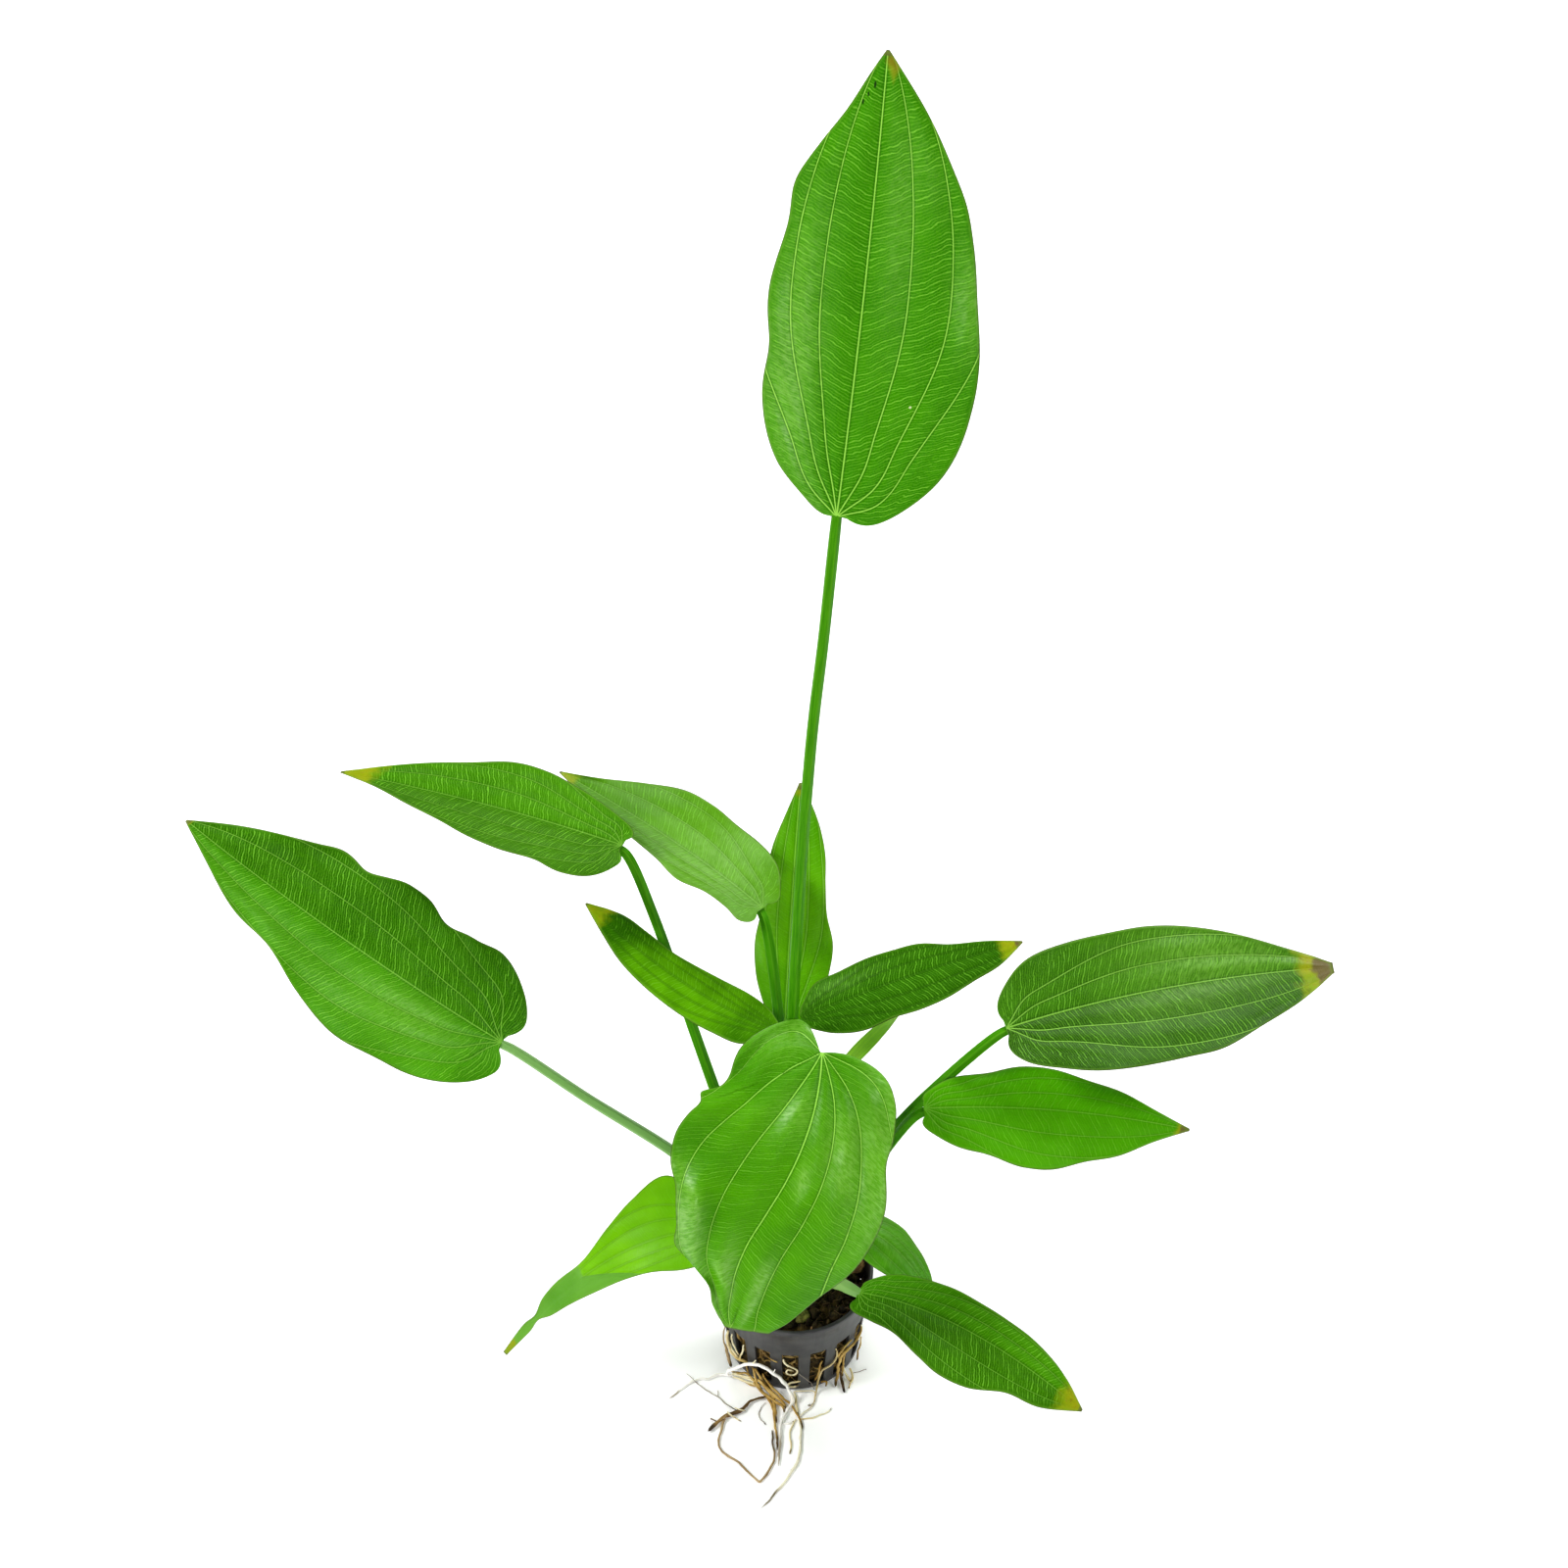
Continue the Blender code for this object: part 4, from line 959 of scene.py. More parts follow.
def makePlug(finish):
    # a turned plug, its skin pushed in and out by a lumpy field, more so on top than beside the wall
    edge, heap, floor = medium["edge"], medium["heap"], pot["floor"] + 0.4
    rim = wallRadius(edge) - pot["wall"] - 0.35
    profile = [(2, heap + 0.5), (6, heap + 0.4), (10, heap), (14, heap - 1.2), (18, edge + 1.2),
               (20.8, edge - 0.9), (rim - 1.6, edge - 3.4), (rim - 0.4, edge - 6.5)]
    heights = np.linspace(edge - 8.5, floor, 24)
    profile += [(wallRadius(h) - pot["wall"] - 0.5, h) for h in heights] + [(15, floor), (2, floor)]
    radius, height = pathThrough([(*knot, 0) for knot in profile], medium["steps"])[:, :2].T
    points = polar(radius[:, None], around(medium["sides"]), height[:, None])
    uneven = np.where(height > 29, 0.9, 0.35)[:, None] * ripple(points, 7.0, 11)
    amount = uneven - 0.35 * (height < 29)[:, None]
    amount = amount * smooth(0, 3, height - pot["floor"] - 0.3)[:, None]
    points = points + unit(points - (0, 0, 17)) * amount[..., None]
    faces = insideOut(closedRings(len(radius), medium["sides"]))
    return addMesh("medium_plug", points, faces, finish, ["growing_medium"])


def lumps(centres, sizes, seed, rows=9, columns=14):
    # spheres squashed and dented by a lumpy field, all at once
    lean = np.linspace(0.12, math.pi - 0.12, rows)[:, None]
    ball = polar(np.sin(lean), around(columns), -np.cos(lean))
    dent = 1 + 0.28 * ripple(ball[None] + centres[:, None, None] * 7.3, 2.4, seed, 3)
    points = centres[:, None, None] + ball[None] * sizes[:, None, None] * dent[..., None]
    return points, closedRings(rows, columns, len(centres))


def makeClods(finish):
    count = medium["clods"]
    turn = chance.uniform(0, fullTurn, count)
    reach = medium["reach"] * np.sqrt(chance.uniform(0.12, 1, count))
    height = np.interp(reach, medium["rings"], medium["clodHeights"]) + chance.uniform(-0.6, 0.5, count)
    sizes = chance.uniform(*medium["clodSizes"], (count, 1)) * chance.uniform(0.7, 1.2, (count, 3))
    points, faces = lumps(polar(reach, turn, height), sizes, 5)
    return addMesh("medium_clods", points, faces, finish)


def curly(starts, ways, lengths, curl, steps, seed):
    # a straight way bent by three sines of growing frequency
    source = np.random.default_rng(seed)
    s = np.linspace(0, 1, steps)[None, :, None]
    first = unit(np.cross(ways, source.normal(size=ways.shape)))
    second = np.cross(ways, first)
    bend = 0
    for power in (1, 2, 3):
        phase = source.uniform(0, fullTurn, (len(starts), 2, 1, 1)).transpose(1, 0, 2, 3)
        wave = np.sin(s[None] * math.pi * power + phase) - np.sin(phase)
        bend = bend + (wave[0] * first[:, None] + wave[1] * second[:, None]) / power
    straight = starts[:, None] + ways[:, None] * lengths[:, None, None] * s
    return straight + bend * (curl * lengths)[:, None, None]


def makeFibres(finish):
    # fibres that lie on the heap and stay inside the pot's wall
    count, rings = medium["fibres"], medium["rings"]
    turn = chance.uniform(0, fullTurn, count)
    reach = medium["fibreReach"] * np.sqrt(chance.uniform(0.1, 1, count))
    starts = polar(reach, turn, np.interp(reach, rings, medium["fibreHeights"]))
    way = chance.uniform(0, fullTurn, count)
    ways = unit(polar(1, way, chance.uniform(-0.1, 0.35, count)))
    paths = curly(starts, ways, chance.uniform(*medium["fibreLengths"], count), 0.22, 9, 21)
    far = np.hypot(paths[..., 0], paths[..., 1])
    paths[..., 2] = np.maximum(paths[..., 2], np.interp(far, rings, medium["fibreLowest"]))
    thick = chance.uniform(*medium["fibreRadii"], (count, 1))
    radii = np.broadcast_to(thick, paths.shape[:2]) * np.linspace(1, 0.5, 9)
    limit = wallRadius(paths[..., 2]) - pot["wall"] - 0.3
    paths[..., :2] *= np.minimum(1, limit / far)[..., None]
    points, faces, place = strands(paths, radii)
    return addMesh("medium_fibres", points, faces, finish, (), {"rootPlace": place})


def makeSlotFibres(finish):
    # roots and fibres pressed against the inside of the wall, laid out on its unrolled cone
    count, unrolled = medium["slotFibres"], medium["unrolled"]
    turn = chance.uniform(0, fullTurn, count)
    height = chance.uniform(3.5, 24, count)
    starts = np.stack([turn * unrolled, height, chance.uniform(-0.9, 0.0, count)], -1)
    way = chance.normal(math.pi / 2, 0.75, count)
    ways = unit(polar(1, way, chance.uniform(-0.05, 0.05, count)))
    flat = curly(starts, ways, chance.uniform(*medium["slotLengths"], count), 0.13, 11, 33)
    h = np.clip(flat[..., 1], *medium["slotHeights"])
    thick = np.where(chance.uniform(0, 1, (count, 1)) < 0.3, *medium["slotRadii"])
    thick = thick * chance.uniform(0.7, 1.3, (count, 1))
    reach = wallRadius(h) - pot["wall"] * 0.75 - thick + np.clip(flat[..., 2], -1.0, 0.1)
    taper = np.interp(np.linspace(0, 1, 11), (0, 0.1, 0.8, 1), (0.5, 1, 0.9, 0.3))
    radii = np.broadcast_to(thick, h.shape) * taper
    points, faces, place = strands(polar(reach, flat[..., 0] / unrolled, h), radii, 6)
    return addMesh("slot_roots", points, faces, finish, (), {"rootPlace": place})


def rootFinish(name, pale, warm, dark, share, later=None):
    # later is (start, end, colour): the colour that a root turns to along its way, in mm from its start
    f = Finish(name)
    _, travelled, tip = f.attribute("rootPlace")
    place = f.place()
    patch = f.noise(place, 120, 3.0)
    grain = f.noise(place, 900, 4.0, 0.65)
    tone = f.mix(patch.within(share - 0.12, share + 0.12), pale, warm)
    if later:
        start, end, turned = later
        tone = f.mix(travelled.within(start, end) * 0.8, tone, turned)
    tone = f.mix(grain.within(0.55, 0.75) * 0.45, tone, dark)
    tone = f.mix(tip.within(0.84, 0.91) * 0.85, tone, shaded(dark, 0.5))
    relief = grain * 0.12 + patch * 0.1
    return f.close(tone, 0.5 + grain * 0.2, f.bump(relief), {"Specular IOR Level": 0.4}, (0.06, pale))


makePlug(mediumFinish("mediumPlug", *medium["plug"]))
makeClods(mediumFinish("mediumClods", *medium["clod"]))
for tone, (look, centres, sizes, seed) in chunks.items():
    points, faces = lumps(np.array(centres, float), np.array(sizes, float), seed, 24, 36)
    finish = mediumFinish("chunk" + tone.title(), *look)
    addMesh("medium_chunks_" + tone, points, faces, finish)
makeFibres(rootFinish("mediumFibre", *medium["fibre"]))
makeSlotFibres(rootFinish("slotRoots", *medium["slotRoot"]))
print("medium made")


# Crown: a knobbly rootstock, turned from its profile and dented by a lumpy field

crown = {
    "profile": ((1.5, 43.6, 0), (6, 43.6, 0), (9.6, 43.1, 0), (11.4, 41.2, 0), (11.2, 38.5, 0), (10.2, 36, 0),
                (8.6, 34.2, 0), (1.5, 34, 0)),
    "steps": 70, "sides": 150, "middle": 38, "lump": 5.0, "bulge": 0.75, "inset": 0.5,
    "tones": ((0.14, 0.14, 0.03), (0.09, 0.055, 0.018)), "pale": (0.28, 0.20, 0.06),
}


def crownFinish():
    f = Finish("crownTissue")
    place = f.place()
    patch = f.noise(place, 220, 4.0)
    grain = f.grain(place, (1200, 1200, 260), 4.0)
    tone = f.mix(patch.within(0.4, 0.6), *crown["tones"])
    tone = f.mix(grain.within(0.5, 0.7) * 0.6, tone, crown["pale"])
    return f.close(tone, 0.62, f.bump(grain * 0.5 + patch * 0.4), {"Specular IOR Level": 0.35})


def makeCrown(finish):
    radius, height = pathThrough(crown["profile"], crown["steps"])[:, :2].T
    points = polar(radius[:, None], around(crown["sides"]), height[:, None])
    amount = ripple(points, crown["lump"], 3) * crown["bulge"] - crown["inset"]
    points = points + unit(points - (0, 0, crown["middle"])) * amount[..., None]
    faces = insideOut(closedRings(len(radius), crown["sides"]))
    return addMesh("crown_rootstock", points, faces, finish, ["crown"])


makeCrown(crownFinish())
print("crown made")


# Roots that stand for a solid: each one's tone, radii spread evenly along it and the points it passes

roots = {
    "root_white": ("white", (0.5, 0.62, 0.62, 0.64, 0.64, 0.6, 0.5, 0.42, 0.3), (-22.3, -17.6, 2),
        (-21.9, -18.2, 5.4), (-20.2, -19.1, 7.5), (-17.8, -19.7, 10), (-15.5, -20.1, 12),
        (-13.2, -21.1, 13.2), (-10.5, -22.4, 13.6), (-7.9, -23.4, 12.8), (-5.6, -24, 11), (-3.3, -25, 8.4),
        (-1.7, -25.6, 5), (-0.7, -26.8, 2.4), (-0.6, -28.2, 1.2), (-2, -30.7, 0.9), (-3.5, -33.7, 0.8),
        (-4.4, -36.4, 0.8), (-4.7, -39.3, 0.7), (-4.7, -43.1, 0.7), (-4.9, -47.6, 0.6), (-5.2, -52.4, 0.5)),
    "root_golden": ("golden", (0.35, 0.5, 0.6, 0.66, 0.6, 0.5, 0.22), (-13.2, -19.8, 9),
        (-11.6, -20.6, 6.1), (-9.9, -21.5, 2.8), (-8.3, -23.6, 2.2), (-7.1, -26.6, 1.2), (-6.4, -30, 1),
        (-6, -33, 0.9), (-5.7, -35.9, 0.7)),
    "root_brown": ("brown", (0.36, 0.42, 0.4, 0.5, 0.72, 0.6, 0.75, 0.55, 0.66, 0.55), (-9.3, -25.9, 1),
        (-11.2, -26.1, 1), (-13.2, -26.8, 1), (-14.9, -27.7, 1), (-16.2, -29.4, 1), (-17.6, -30.8, 1),
        (-19.3, -31.9, 1), (-21.2, -32.7, 1), (-22.7, -33.2, 1), (-24.5, -34.8, 1), (-25.9, -36.1, 1),
        (-27.2, -37.6, 1), (-28.7, -39.3, 1)),
    "root_loop": ("tan", (0.5, 0.36, 0.33, 0.35, 0.4, 0.35, 0.33, 0.28), (-23, -34.1, 0.8),
        (-23.7, -35.5, 0.6), (-24.3, -38.1, 0.5), (-25.2, -43.4, 0.5), (-24.8, -45.6, 0.5),
        (-23.8, -47.1, 0.5), (-19.2, -50.5, 0.5), (-15.3, -54.2, 0.5), (-12.4, -57.7, 0.5),
        (-11.4, -58.2, 0.5), (-10.1, -56.8, 0.5), (-7.2, -52, 0.5), (-6.6, -49.4, 0.5), (-6.7, -46.8, 0.5),
        (-7.2, -41, 0.4), (-7.3, -38.4, 0.4)),
    "root_long": ("ivory", (0.22, 0.36, 0.36, 0.34, 0.3, 0.2, 0.28, 0.42, 0.45, 0.42, 0.32, 0.14),
        (14, -20.5, 21.9), (14.4, -20, 16.8), (13.5, -20.4, 14), (11.8, -21.2, 12.3), (9.9, -22.1, 11.5),
        (8.6, -22.6, 8.8), (8, -22.6, 4.6), (7.6, -23, 1.6), (7.3, -25.1, 0.6), (6.8, -27.7, 0.5),
        (5.6, -29.8, 0.5), (3.5, -31.4, 0.5), (2.1, -33.5, 0.5), (2.1, -36.5, 0.5), (2.3, -40, 0.5),
        (2.2, -44.1, 0.5), (1.7, -48.3, 0.5), (0.3, -52.8, 0.5), (-2.2, -57, 0.5), (-4.6, -60.5, 0.5),
        (-6.5, -62.9, 0.4), (-8.8, -65.6, 0.4), (-11, -68.8, 0.3)),
    "root_side": ("cream", (0.25, 0.28, 0.22, 0.14), (2.3, -34.1, 0.5), (5.3, -33.8, 0.4),
        (8.2, -32.8, 0.4), (11.2, -31.7, 0.4), (12.7, -29.7, 0.3)),
    "root_left": ("white", (0.4, 0.42, 0.5, 0.42, 0.45, 0.36, 0.28, 0.14), (-20.4, -18.6, 3),
        (-21.8, -17.9, 2), (-24.9, -16.8, 0.8), (-26.6, -17, 0.7), (-27.9, -18, 0.6), (-29.6, -18.7, 0.6),
        (-31.6, -18.4, 0.6), (-32.9, -18.9, 0.6), (-35.2, -20.1, 0.5), (-37.5, -21.9, 0.5), (-39.7, -24, 0.4),
        (-42.3, -26.3, 0.4)),
    "root_left_wall": ("straw", (0.4, 0.5, 0.55, 0.55, 0.5, 0.35), (-21.9, -12.4, 20.1),
        (-22.5, -12.9, 16.8), (-21.9, -13.9, 13.6), (-20.9, -14.8, 11), (-18.9, -16.5, 10.2),
        (-16.9, -18, 10.8), (-15.3, -19.1, 10.6), (-13.9, -20.2, 9.8)),
    "root_right_wall": ("golden", (0.3, 0.5, 0.5, 0.55, 0.5, 0.5, 0.4), (22.8, -9.6, 18.9),
        (22.2, -11.8, 17.8), (20.9, -14.4, 17.4), (18.9, -16.9, 17.4), (16.9, -18.6, 16.8), (15.7, -19.1, 14),
        (15.2, -19.1, 10), (14.9, -18.9, 5.3), (14.4, -20, 1.6), (14.2, -21.6, 0.6)),
}

# pale, warm and dark tone of each kind, the share that is pale, and what it turns to along its way
rootTones = {
    "white": ((0.97, 0.95, 0.90), (0.90, 0.84, 0.70), (0.60, 0.48, 0.28), 0.70),
    "ivory": ((0.62, 0.50, 0.26), (0.45, 0.34, 0.14), (0.22, 0.15, 0.05), 0.55, (26, 36, (0.95, 0.93, 0.76))),
    "cream": ((0.84, 0.77, 0.52), (0.66, 0.53, 0.26), (0.32, 0.22, 0.08), 0.55),
    "straw": ((0.78, 0.66, 0.38), (0.52, 0.38, 0.14), (0.24, 0.15, 0.04), 0.50),
    "golden": ((0.62, 0.44, 0.15), (0.34, 0.20, 0.035), (0.10, 0.055, 0.01), 0.48),
    "brown": ((0.14, 0.08, 0.025), (0.07, 0.038, 0.01), (0.02, 0.012, 0.005), 0.50,
              (13, 18, (0.36, 0.23, 0.08))),
    "tan": ((0.44, 0.32, 0.17), (0.30, 0.20, 0.09), (0.13, 0.09, 0.04), 0.50),
    "grey": ((0.46, 0.42, 0.36), (0.30, 0.26, 0.21), (0.10, 0.08, 0.06), 0.50),
}
rootShape = {"steps": 14, "wander": 0.18, "knobs": 0.14, "rounded": 0.015, "tapered": 0.04}
rootFinishes = {tone: rootFinish("root_" + tone, *values) for tone, values in rootTones.items()}


def rootTube(radii, points, seed, sides=12):
    # a round section along the points, swelling and narrowing a little, and rounded off at both ends
    path = pathThrough(points, rootShape["steps"] * (len(points) - 1))
    wander = np.stack([ripple(path, 7.0, seed + k, 3) for k in range(3)], -1)
    path = path + wander * (rootShape["wander"], rootShape["wander"], 0.0)
    s = np.linspace(0, 1, len(path))
    knobs = 1 + rootShape["knobs"] * ripple(path, 3.5, seed + 9, 3)
    start = np.sqrt(np.clip(1 - (1 - np.minimum(s / rootShape["rounded"], 1)) ** 2, 0.01, 1))
    end = np.clip((1 - s) / rootShape["tapered"], 0.08, 1) ** 0.6
    radii = np.interp(s, np.linspace(0, 1, len(radii)), radii) * knobs * start * end
    path[:, 2] = np.maximum(path[:, 2], radii)
    points, faces, place = tube(path, radii, sides)
    place[:, 2] = np.repeat(s, sides)
    return points, faces, place


for seed, (name, (tone, radii, *points)) in enumerate(roots.items()):
    points, faces, place = rootTube(radii, points, 40 + 5 * seed)
    addMesh(name + "_fine", points, faces, rootFinishes[tone], [name], {"rootPlace": place})

# Finer roots that the solids leave out, by tone: radii and points of each
fineRoots = {
    "white": (
        ((0.2, 0.14), (-6.2, -24.4, 15.1), (-6.6, -24.5, 14.2), (-6.9, -24.3, 13.2)),
        ((0.3, 0.35, 0.2), (-4.2, -35.9, 0.4), (-2, -36.2, 0.4), (0, -35.1, 0.4)),
    ),
    "cream": (
        ((0.3, 0.4, 0.35), (-22.4, -11.9, 17.6), (-22, -12.8, 14.9), (-20.9, -14.2, 12.2),
         (-19.2, -15.9, 10.6), (-17.3, -17.2, 9.8)),
        ((0.25, 0.35, 0.3), (-20.8, -15, 22.1), (-20.7, -14.3, 16.6), (-19.6, -15.6, 13.8),
         (-18.1, -16.9, 11.7)),
        ((0.25, 0.35, 0.25), (-16.6, -19.2, 21.8), (-17, -18.5, 17.7), (-17.9, -17.5, 12.8),
         (-18.3, -16.6, 7.7)),
        ((0.2, 0.25), (-12.7, -21.1, 15.7), (-13.5, -20.9, 14.1), (-14.6, -20.1, 11.9)),
        ((0.3, 0.3, 0.28, 0.25), (-3.5, -24, 20.4), (-3, -24.2, 18.2), (-1.3, -24.4, 16.9),
         (0.3, -24.3, 15.3), (0.9, -24, 12.6), (-0.2, -23.9, 11.2), (-1.8, -23.8, 11.5), (-2.6, -23.9, 12.8),
         (-2, -24.1, 14.6), (-0.7, -24.1, 14.2), (-0.3, -23.7, 12.6)),
        ((0.3, 0.4, 0.3), (2.3, -23, 6.1), (0.5, -23.3, 5.9), (-1.3, -23.2, 5), (-1.9, -23, 3.4),
         (0, -23.1, 3), (2, -22.8, 3.5)),
        ((0.2, 0.25, 0.2), (-0.2, -23.9, 0.6), (0.7, -23.6, 0.8), (3.3, -23.4, 0.9), (6.3, -23.6, 0.8),
         (7.3, -24.7, 0.6)),
        ((0.35, 0.4, 0.3), (0.3, -23.9, 0.6), (0.6, -26.6, 0.6), (0.8, -29.6, 0.5), (1.6, -32.7, 0.5)),
        ((0.4, 0.45, 0.3), (-20.9, -18.7, 4.5), (-19.2, -18.9, 4), (-17.2, -19.3, 3.8), (-14.9, -20, 3.8),
         (-12.6, -21.3, 3.4)),
        ((0.3, 0.4, 0.3), (-20.7, -18.7, 2.4), (-18.9, -19.3, 2.2), (-16.6, -20.3, 2.2), (-13.9, -21.3, 2.2),
         (-11.2, -22.7, 2)),
        ((0.3, 0.35, 0.25), (-19.9, -18.6, 5), (-18.2, -19.2, 3.2), (-16.2, -19.9, 3), (-13.6, -20.9, 3),
         (-10.9, -22.5, 3.2)),
        ((0.3, 0.4, 0.45, 0.35), (16.8, -16.4, 5.9), (17, -16.4, 3.4), (17.6, -17.4, 1.8), (18.4, -18.6, 1),
         (19.6, -19.8, 0.6)),
        ((0.3, 0.4, 0.2), (18.9, -15.4, 2.6), (19.8, -17, 1.6), (19.7, -19.2, 1), (18.9, -20.9, 0.6),
         (18.4, -22, 0.4)),
        ((0.2, 0.3, 0.3), (22.9, -9.3, 19.4), (22.6, -10.4, 17.4), (22.1, -11.2, 15.2), (21.6, -11.6, 13.3)),
        ((0.2, 0.32, 0.3, 0.25), (0.5, -34.2, 0.5), (-0.2, -35.7, 0.4), (-1, -38.4, 0.4), (-1.3, -41.4, 0.4),
         (-1.1, -44.8, 0.4), (-1.3, -47.6, 0.3)),
        ((0.3, 0.25, 0.15), (-22.5, -32.4, 1.8), (-21.4, -33.6, 1.8), (-19.7, -34, 0.6),
         (-17.6, -35.1, 0.4)),
        ((0.2, 0.25, 0.15), (-19.8, -30.5, 1.6), (-18.1, -31.4, 1.9), (-16.2, -31, 0.6)),
    ),
    "golden": (
        ((0.35, 0.5, 0.5, 0.4, 0.3), (-14, -19.6, 9.4), (-13.3, -20.6, 6.3), (-12.7, -21.6, 4),
         (-11.6, -23.4, 3), (-10.4, -24.6, 1.6), (-8.6, -26.2, 0.8), (-7.4, -29.1, 0.8), (-6.6, -32.5, 0.7),
         (-6.1, -37, 0.6), (-5.8, -41.9, 0.5), (-5.6, -46.7, 0.4)),
        ((0.3, 0.45, 0.45, 0.35, 0.4, 0.3), (-10.6, -21.6, 8.6), (-9.3, -22.7, 6.7), (-7.9, -23.8, 4.4),
         (-5.9, -25.4, 3.2), (-3.8, -27, 2), (-2.1, -28, 1.2), (-0.7, -29.4, 0.8), (0.7, -31.7, 0.7),
         (1.8, -33.9, 0.6), (2.6, -36.2, 0.5), (2.9, -38.2, 0.4)),
        ((0.5, 0.7, 0.6, 0.3), (-12.3, -21.6, 4.6), (-10.2, -23.2, 4), (-8.1, -24.8, 2.6),
         (-5.6, -26.8, 1.8), (-3.3, -28.7, 1.1), (-2.5, -30.3, 0.6)),
        ((0.4, 0.5, 0.5, 0.3), (-13.6, -22.4, 4.2), (-11.4, -24.1, 2.6), (-9.1, -26, 1.8),
         (-6.1, -28.1, 1.4), (-3.8, -29.7, 0.9), (-3.2, -31.8, 0.6)),
        ((0.3, 0.4, 0.4), (-16.1, -18.1, 8.1), (-15.5, -19.2, 5.6), (-14, -20.6, 4.2), (-12.4, -22.6, 3.6),
         (-10.9, -24, 2)),
        ((0.3, 0.35, 0.3), (-17.9, -19.4, 1.2), (-15.9, -20.5, 1.1), (-14.2, -21.2, 1), (-12.6, -21.7, 1.2),
         (-10.6, -23.2, 1.6)),
        ((0.3, 0.4, 0.3), (-21.9, -17.7, 6), (-20.5, -18.4, 4.4), (-18.5, -18.9, 4.8), (-16.2, -19.6, 5.6),
         (-14.2, -20.6, 4.2)),
        ((0.2, 0.22, 0.2), (-8.5, -23.3, 20.2), (-6.9, -24, 19.8), (-5.1, -24.3, 18.9)),
        ((0.3, 0.4, 0.35), (19.3, -15.9, 19.7), (17.6, -18.1, 19.8), (16.1, -19.4, 19), (15.2, -19.8, 17.4),
         (14.9, -19.3, 14)),
        ((0.3, 0.35, 0.3), (17.5, -16.7, 14.7), (17, -17.1, 11.3), (16.7, -17.2, 7.3), (16.4, -17.2, 3.7),
         (16.3, -17.9, 1.2)),
        ((0.25, 0.3, 0.25), (22.8, -9.2, 12), (22.5, -9.6, 8), (21.9, -10.4, 5), (21.6, -11.4, 1.5)),
        ((0.3, 0.35, 0.3), (9.6, -22.1, 17), (8.8, -22.6, 14.4), (8.5, -22.4, 10.7), (7.9, -22.3, 7.4),
         (7, -22.1, 4.7)),
        ((0.3, 0.35, 0.3), (9.2, -21.1, 2.6), (10.5, -20.9, 2.8), (11.1, -20.8, 1.8), (10.8, -21.8, 0.8)),
    ),
    "brown": (
        ((0.3, 0.2, 0.3), (-28, -34.3, 0.8), (-26.9, -34.9, 0.8), (-25.8, -35.9, 1)),
        ((0.3, 0.45, 0.5, 0.35), (15.9, -17.4, 7.3), (15.9, -17.5, 3.6), (16.1, -19, 1.6),
         (16.6, -21.4, 1.2), (17.2, -24.1, 0.6)),
    ),
    "tan": (
        ((0.2, 0.2, 0.25, 0.5, 0.65, 0.55), (-22.9, -10.2, 19.7), (-23.6, -10.7, 17.3), (-23.8, -11.7, 14.7),
         (-23.3, -12.7, 11.9), (-22.5, -13.5, 8.7), (-21.8, -14.2, 5.1), (-21.2, -15, 2.5)),
        ((0.5, 0.45, 0.4), (-22.2, -32.8, 1.2), (-23, -33.9, 1.2), (-23.8, -35.1, 1)),
    ),
    "grey": (
        ((0.1, 0.2, 0.22, 0.2), (-36.4, -16.2, 0.4), (-34.6, -18.2, 0.9), (-32.9, -20, 0.6),
         (-30.8, -21.9, 0.4), (-28.1, -23.7, 0.4), (-26.1, -24.9, 0.4), (-24.5, -26.2, 0.4), (-23, -28, 0.4),
         (-20.8, -29.8, 0.7), (-18.9, -31.6, 1.9)),
        ((0.12, 0.15, 0.15), (-9.6, -27.8, 0.4), (-11.1, -29.9, 0.3), (-11.9, -32.2, 0.3),
         (-11.4, -34.3, 0.3), (-10.2, -35.5, 0.3), (-9.5, -36.5, 0.3)),
        ((0.1, 0.15, 0.1), (19.5, -15.9, 0.4), (21.7, -15.4, 0.3), (23.4, -14.6, 0.3), (24.9, -14.2, 0.3)),
        ((0.12, 0.15, 0.1), (-25.6, -22.9, 0.5), (-25.4, -23.8, 0.4), (-25.5, -25.1, 0.4)),
        ((0.14, 0.14, 0.14), (1.8, -24.1, 12), (3.9, -23.8, 8.8), (6, -23.2, 4.6), (7.3, -23, 1.4)),
        ((0.3, 0.35, 0.3), (4.7, -29, 0.4), (5.1, -28.8, 0.4), (5.5, -28.5, 0.4)),
        ((0.3, 0.3, 0.3), (6, -28.8, 0.4), (6.3, -28.5, 0.4), (6.6, -28.1, 0.4)),
    ),
}

for seed, (tone, group) in enumerate(fineRoots.items()):
    parts = [rootTube(radii, points, 200 + 37 * seed + 5 * k, 9) for k, (radii, *points) in enumerate(group)]
    points, faces, place = joined(parts)
    addMesh("fine_roots_" + tone, points, faces, rootFinishes[tone], (), {"rootPlace": place})
print("roots made")


# Floor, light and camera

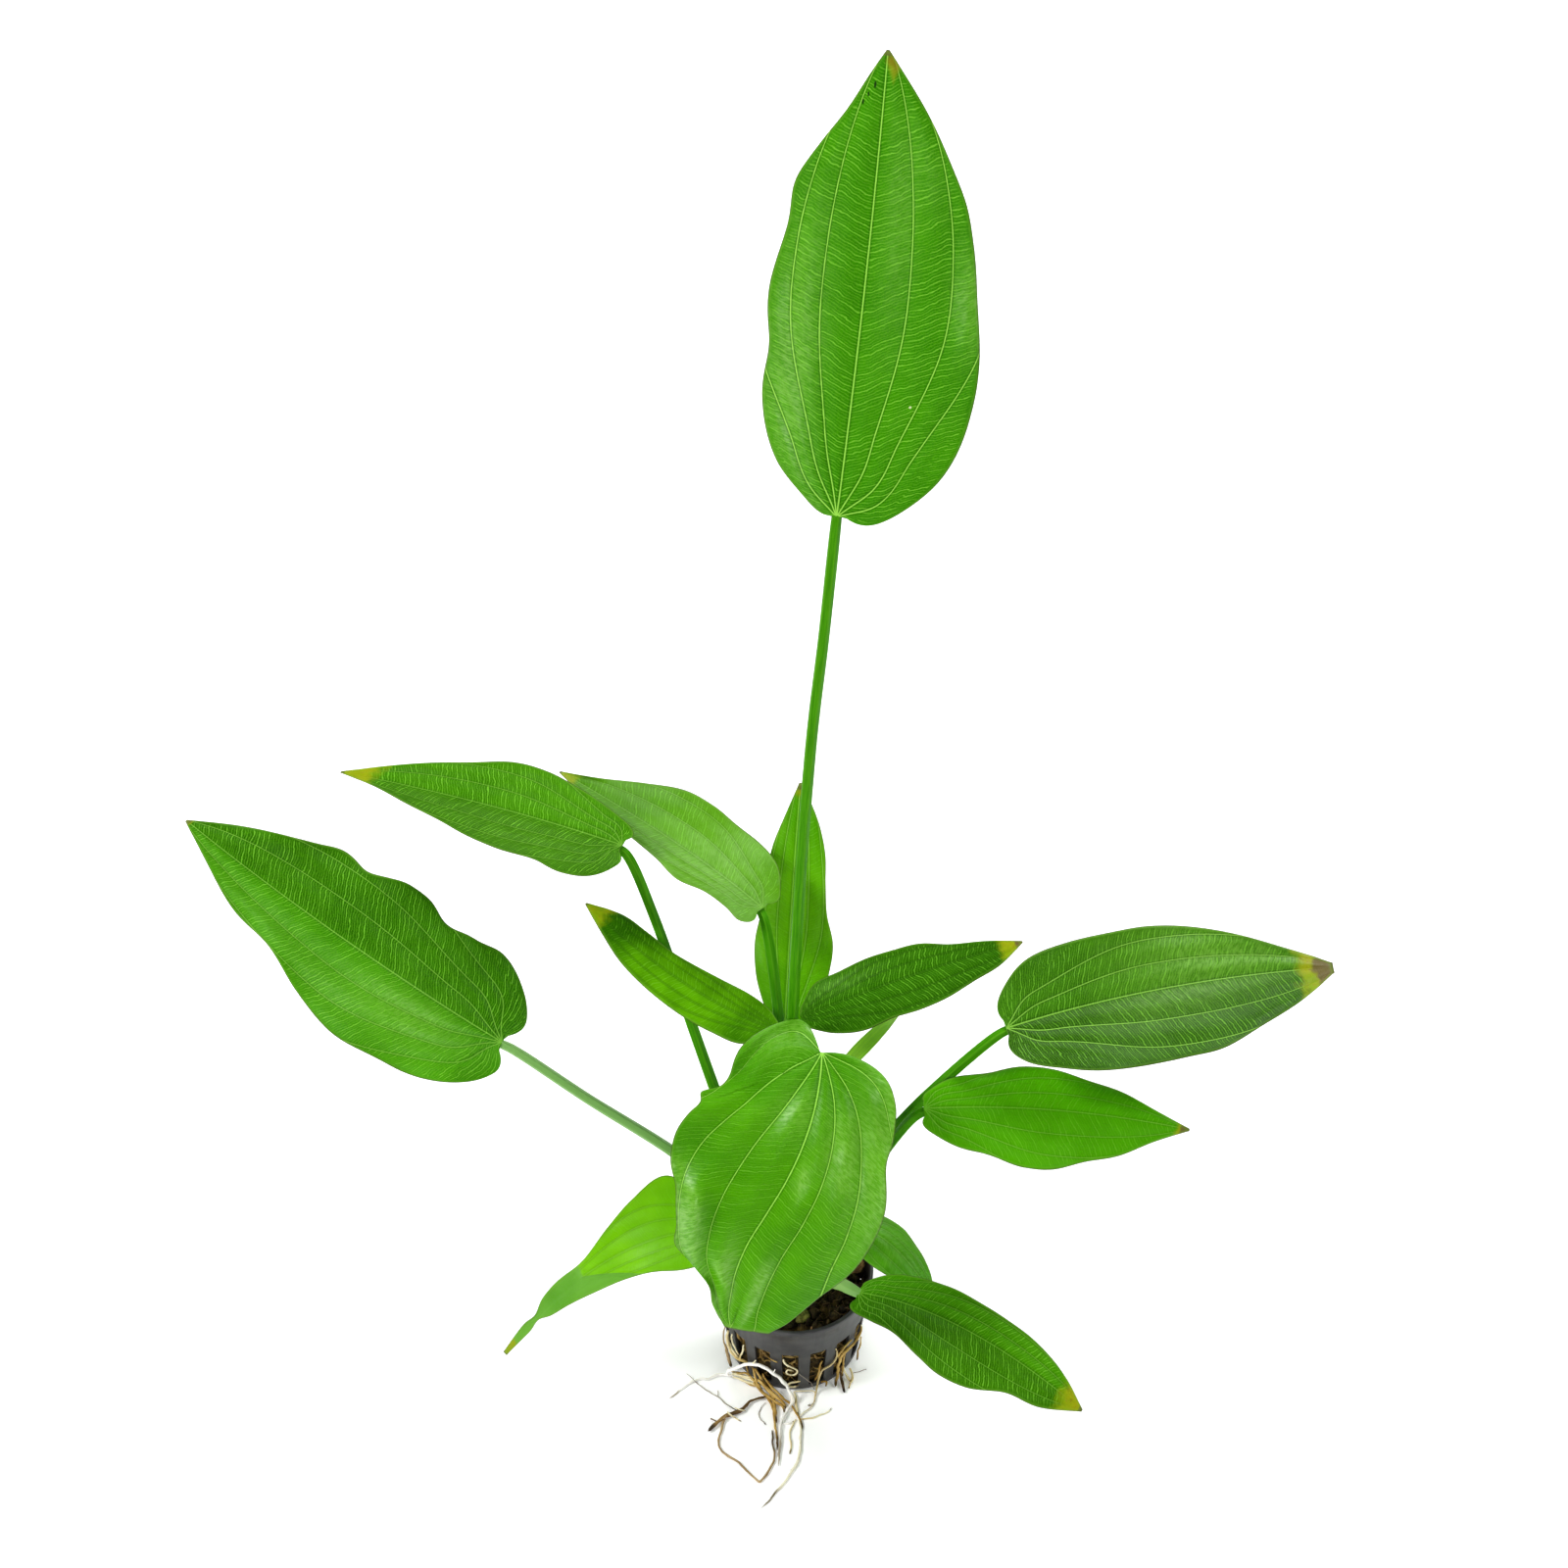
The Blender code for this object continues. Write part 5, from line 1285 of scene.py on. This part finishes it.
studio = {"floor": 6, "floorGrey": 0.96, "glow": 0.1, "sky": 0.12, "horizon": 0.45}
lights = {
    "left": {"from": (-0.70, -0.10, 0.70), "spread": 18, "strength": 1.9},
    "right": {"from": (0.66, 0.05, 0.75), "spread": 26, "strength": 1.2},
    "front": {"from": (-0.15, -0.93, 0.34), "spread": 20, "strength": 0.8},
    "back": {"from": (0.05, 0.62, 0.78), "spread": 50, "strength": 1.7},
}

floorFinish = Finish("floorWhite")
floorLook = {"Specular IOR Level": 0.1, "Emission Color": (1, 1, 1, 1), "Emission Strength": studio["glow"]}
white = (*(studio["floorGrey"],) * 3, 1)
floorMesh = bpy.data.meshes.new("floor")
half = studio["floor"]
floorCorners = [(-half, -half, 0), (half, -half, 0), (half, half, 0), (-half, half, 0)]
floorMesh.from_pydata(floorCorners, [], [(0, 1, 2, 3)])
floorMesh.materials.append(floorFinish.close(white, 0.6, floorFinish.bump(0.0), floorLook))
addObject("floor", floorMesh)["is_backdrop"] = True

# white where the camera sees it; for light, dim above and brighter near the horizon
sky = Finish("studio", bpy.data.worlds)
bpy.context.scene.world = sky.material
ways = sky.split(sky.add("ShaderNodeTexCoord", None, None, "Generated"))
dim = ways[2].within(0.10, 0.34) * (studio["sky"] - studio["horizon"]) + studio["horizon"]
strength = dim + sky.add("ShaderNodeLightPath") * (1.0 - dim)
glow = sky.add("ShaderNodeBackground", None, {0: (1, 1, 1, 1), 1: strength})
sky.add("ShaderNodeOutputWorld", None, {0: glow})

for name, light in lights.items():
    data = bpy.data.lights.new(name, "SUN")
    data.angle = math.radians(light["spread"])
    data.energy = light["strength"]
    x, y, z = light["from"]
    addObject(name, data).rotation_euler = (math.atan2(math.hypot(x, y), z), 0, math.atan2(x, -y))

lens = bpy.data.cameras.new("camera")
lens.lens = camera["lens"]
lens.sensor_width = camera["sensor"]
lens.clip_start = 0.01
lens.clip_end = 50
viewer = addObject("camera", lens)
viewer.location = [value * mm for value in camera["place"]]
viewer.rotation_euler = (math.radians(90 - camera["pitch"]), 0, 0)
bpy.context.scene.camera = viewer
bpy.context.scene.view_settings.view_transform = "Standard"
bpy.context.scene.view_settings.look = "Medium High Contrast"
print("stage ready")

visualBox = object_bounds()
sizes = {"cad": [list(corner) for corner in cadBox], "visual": [list(corner) for corner in visualBox]}
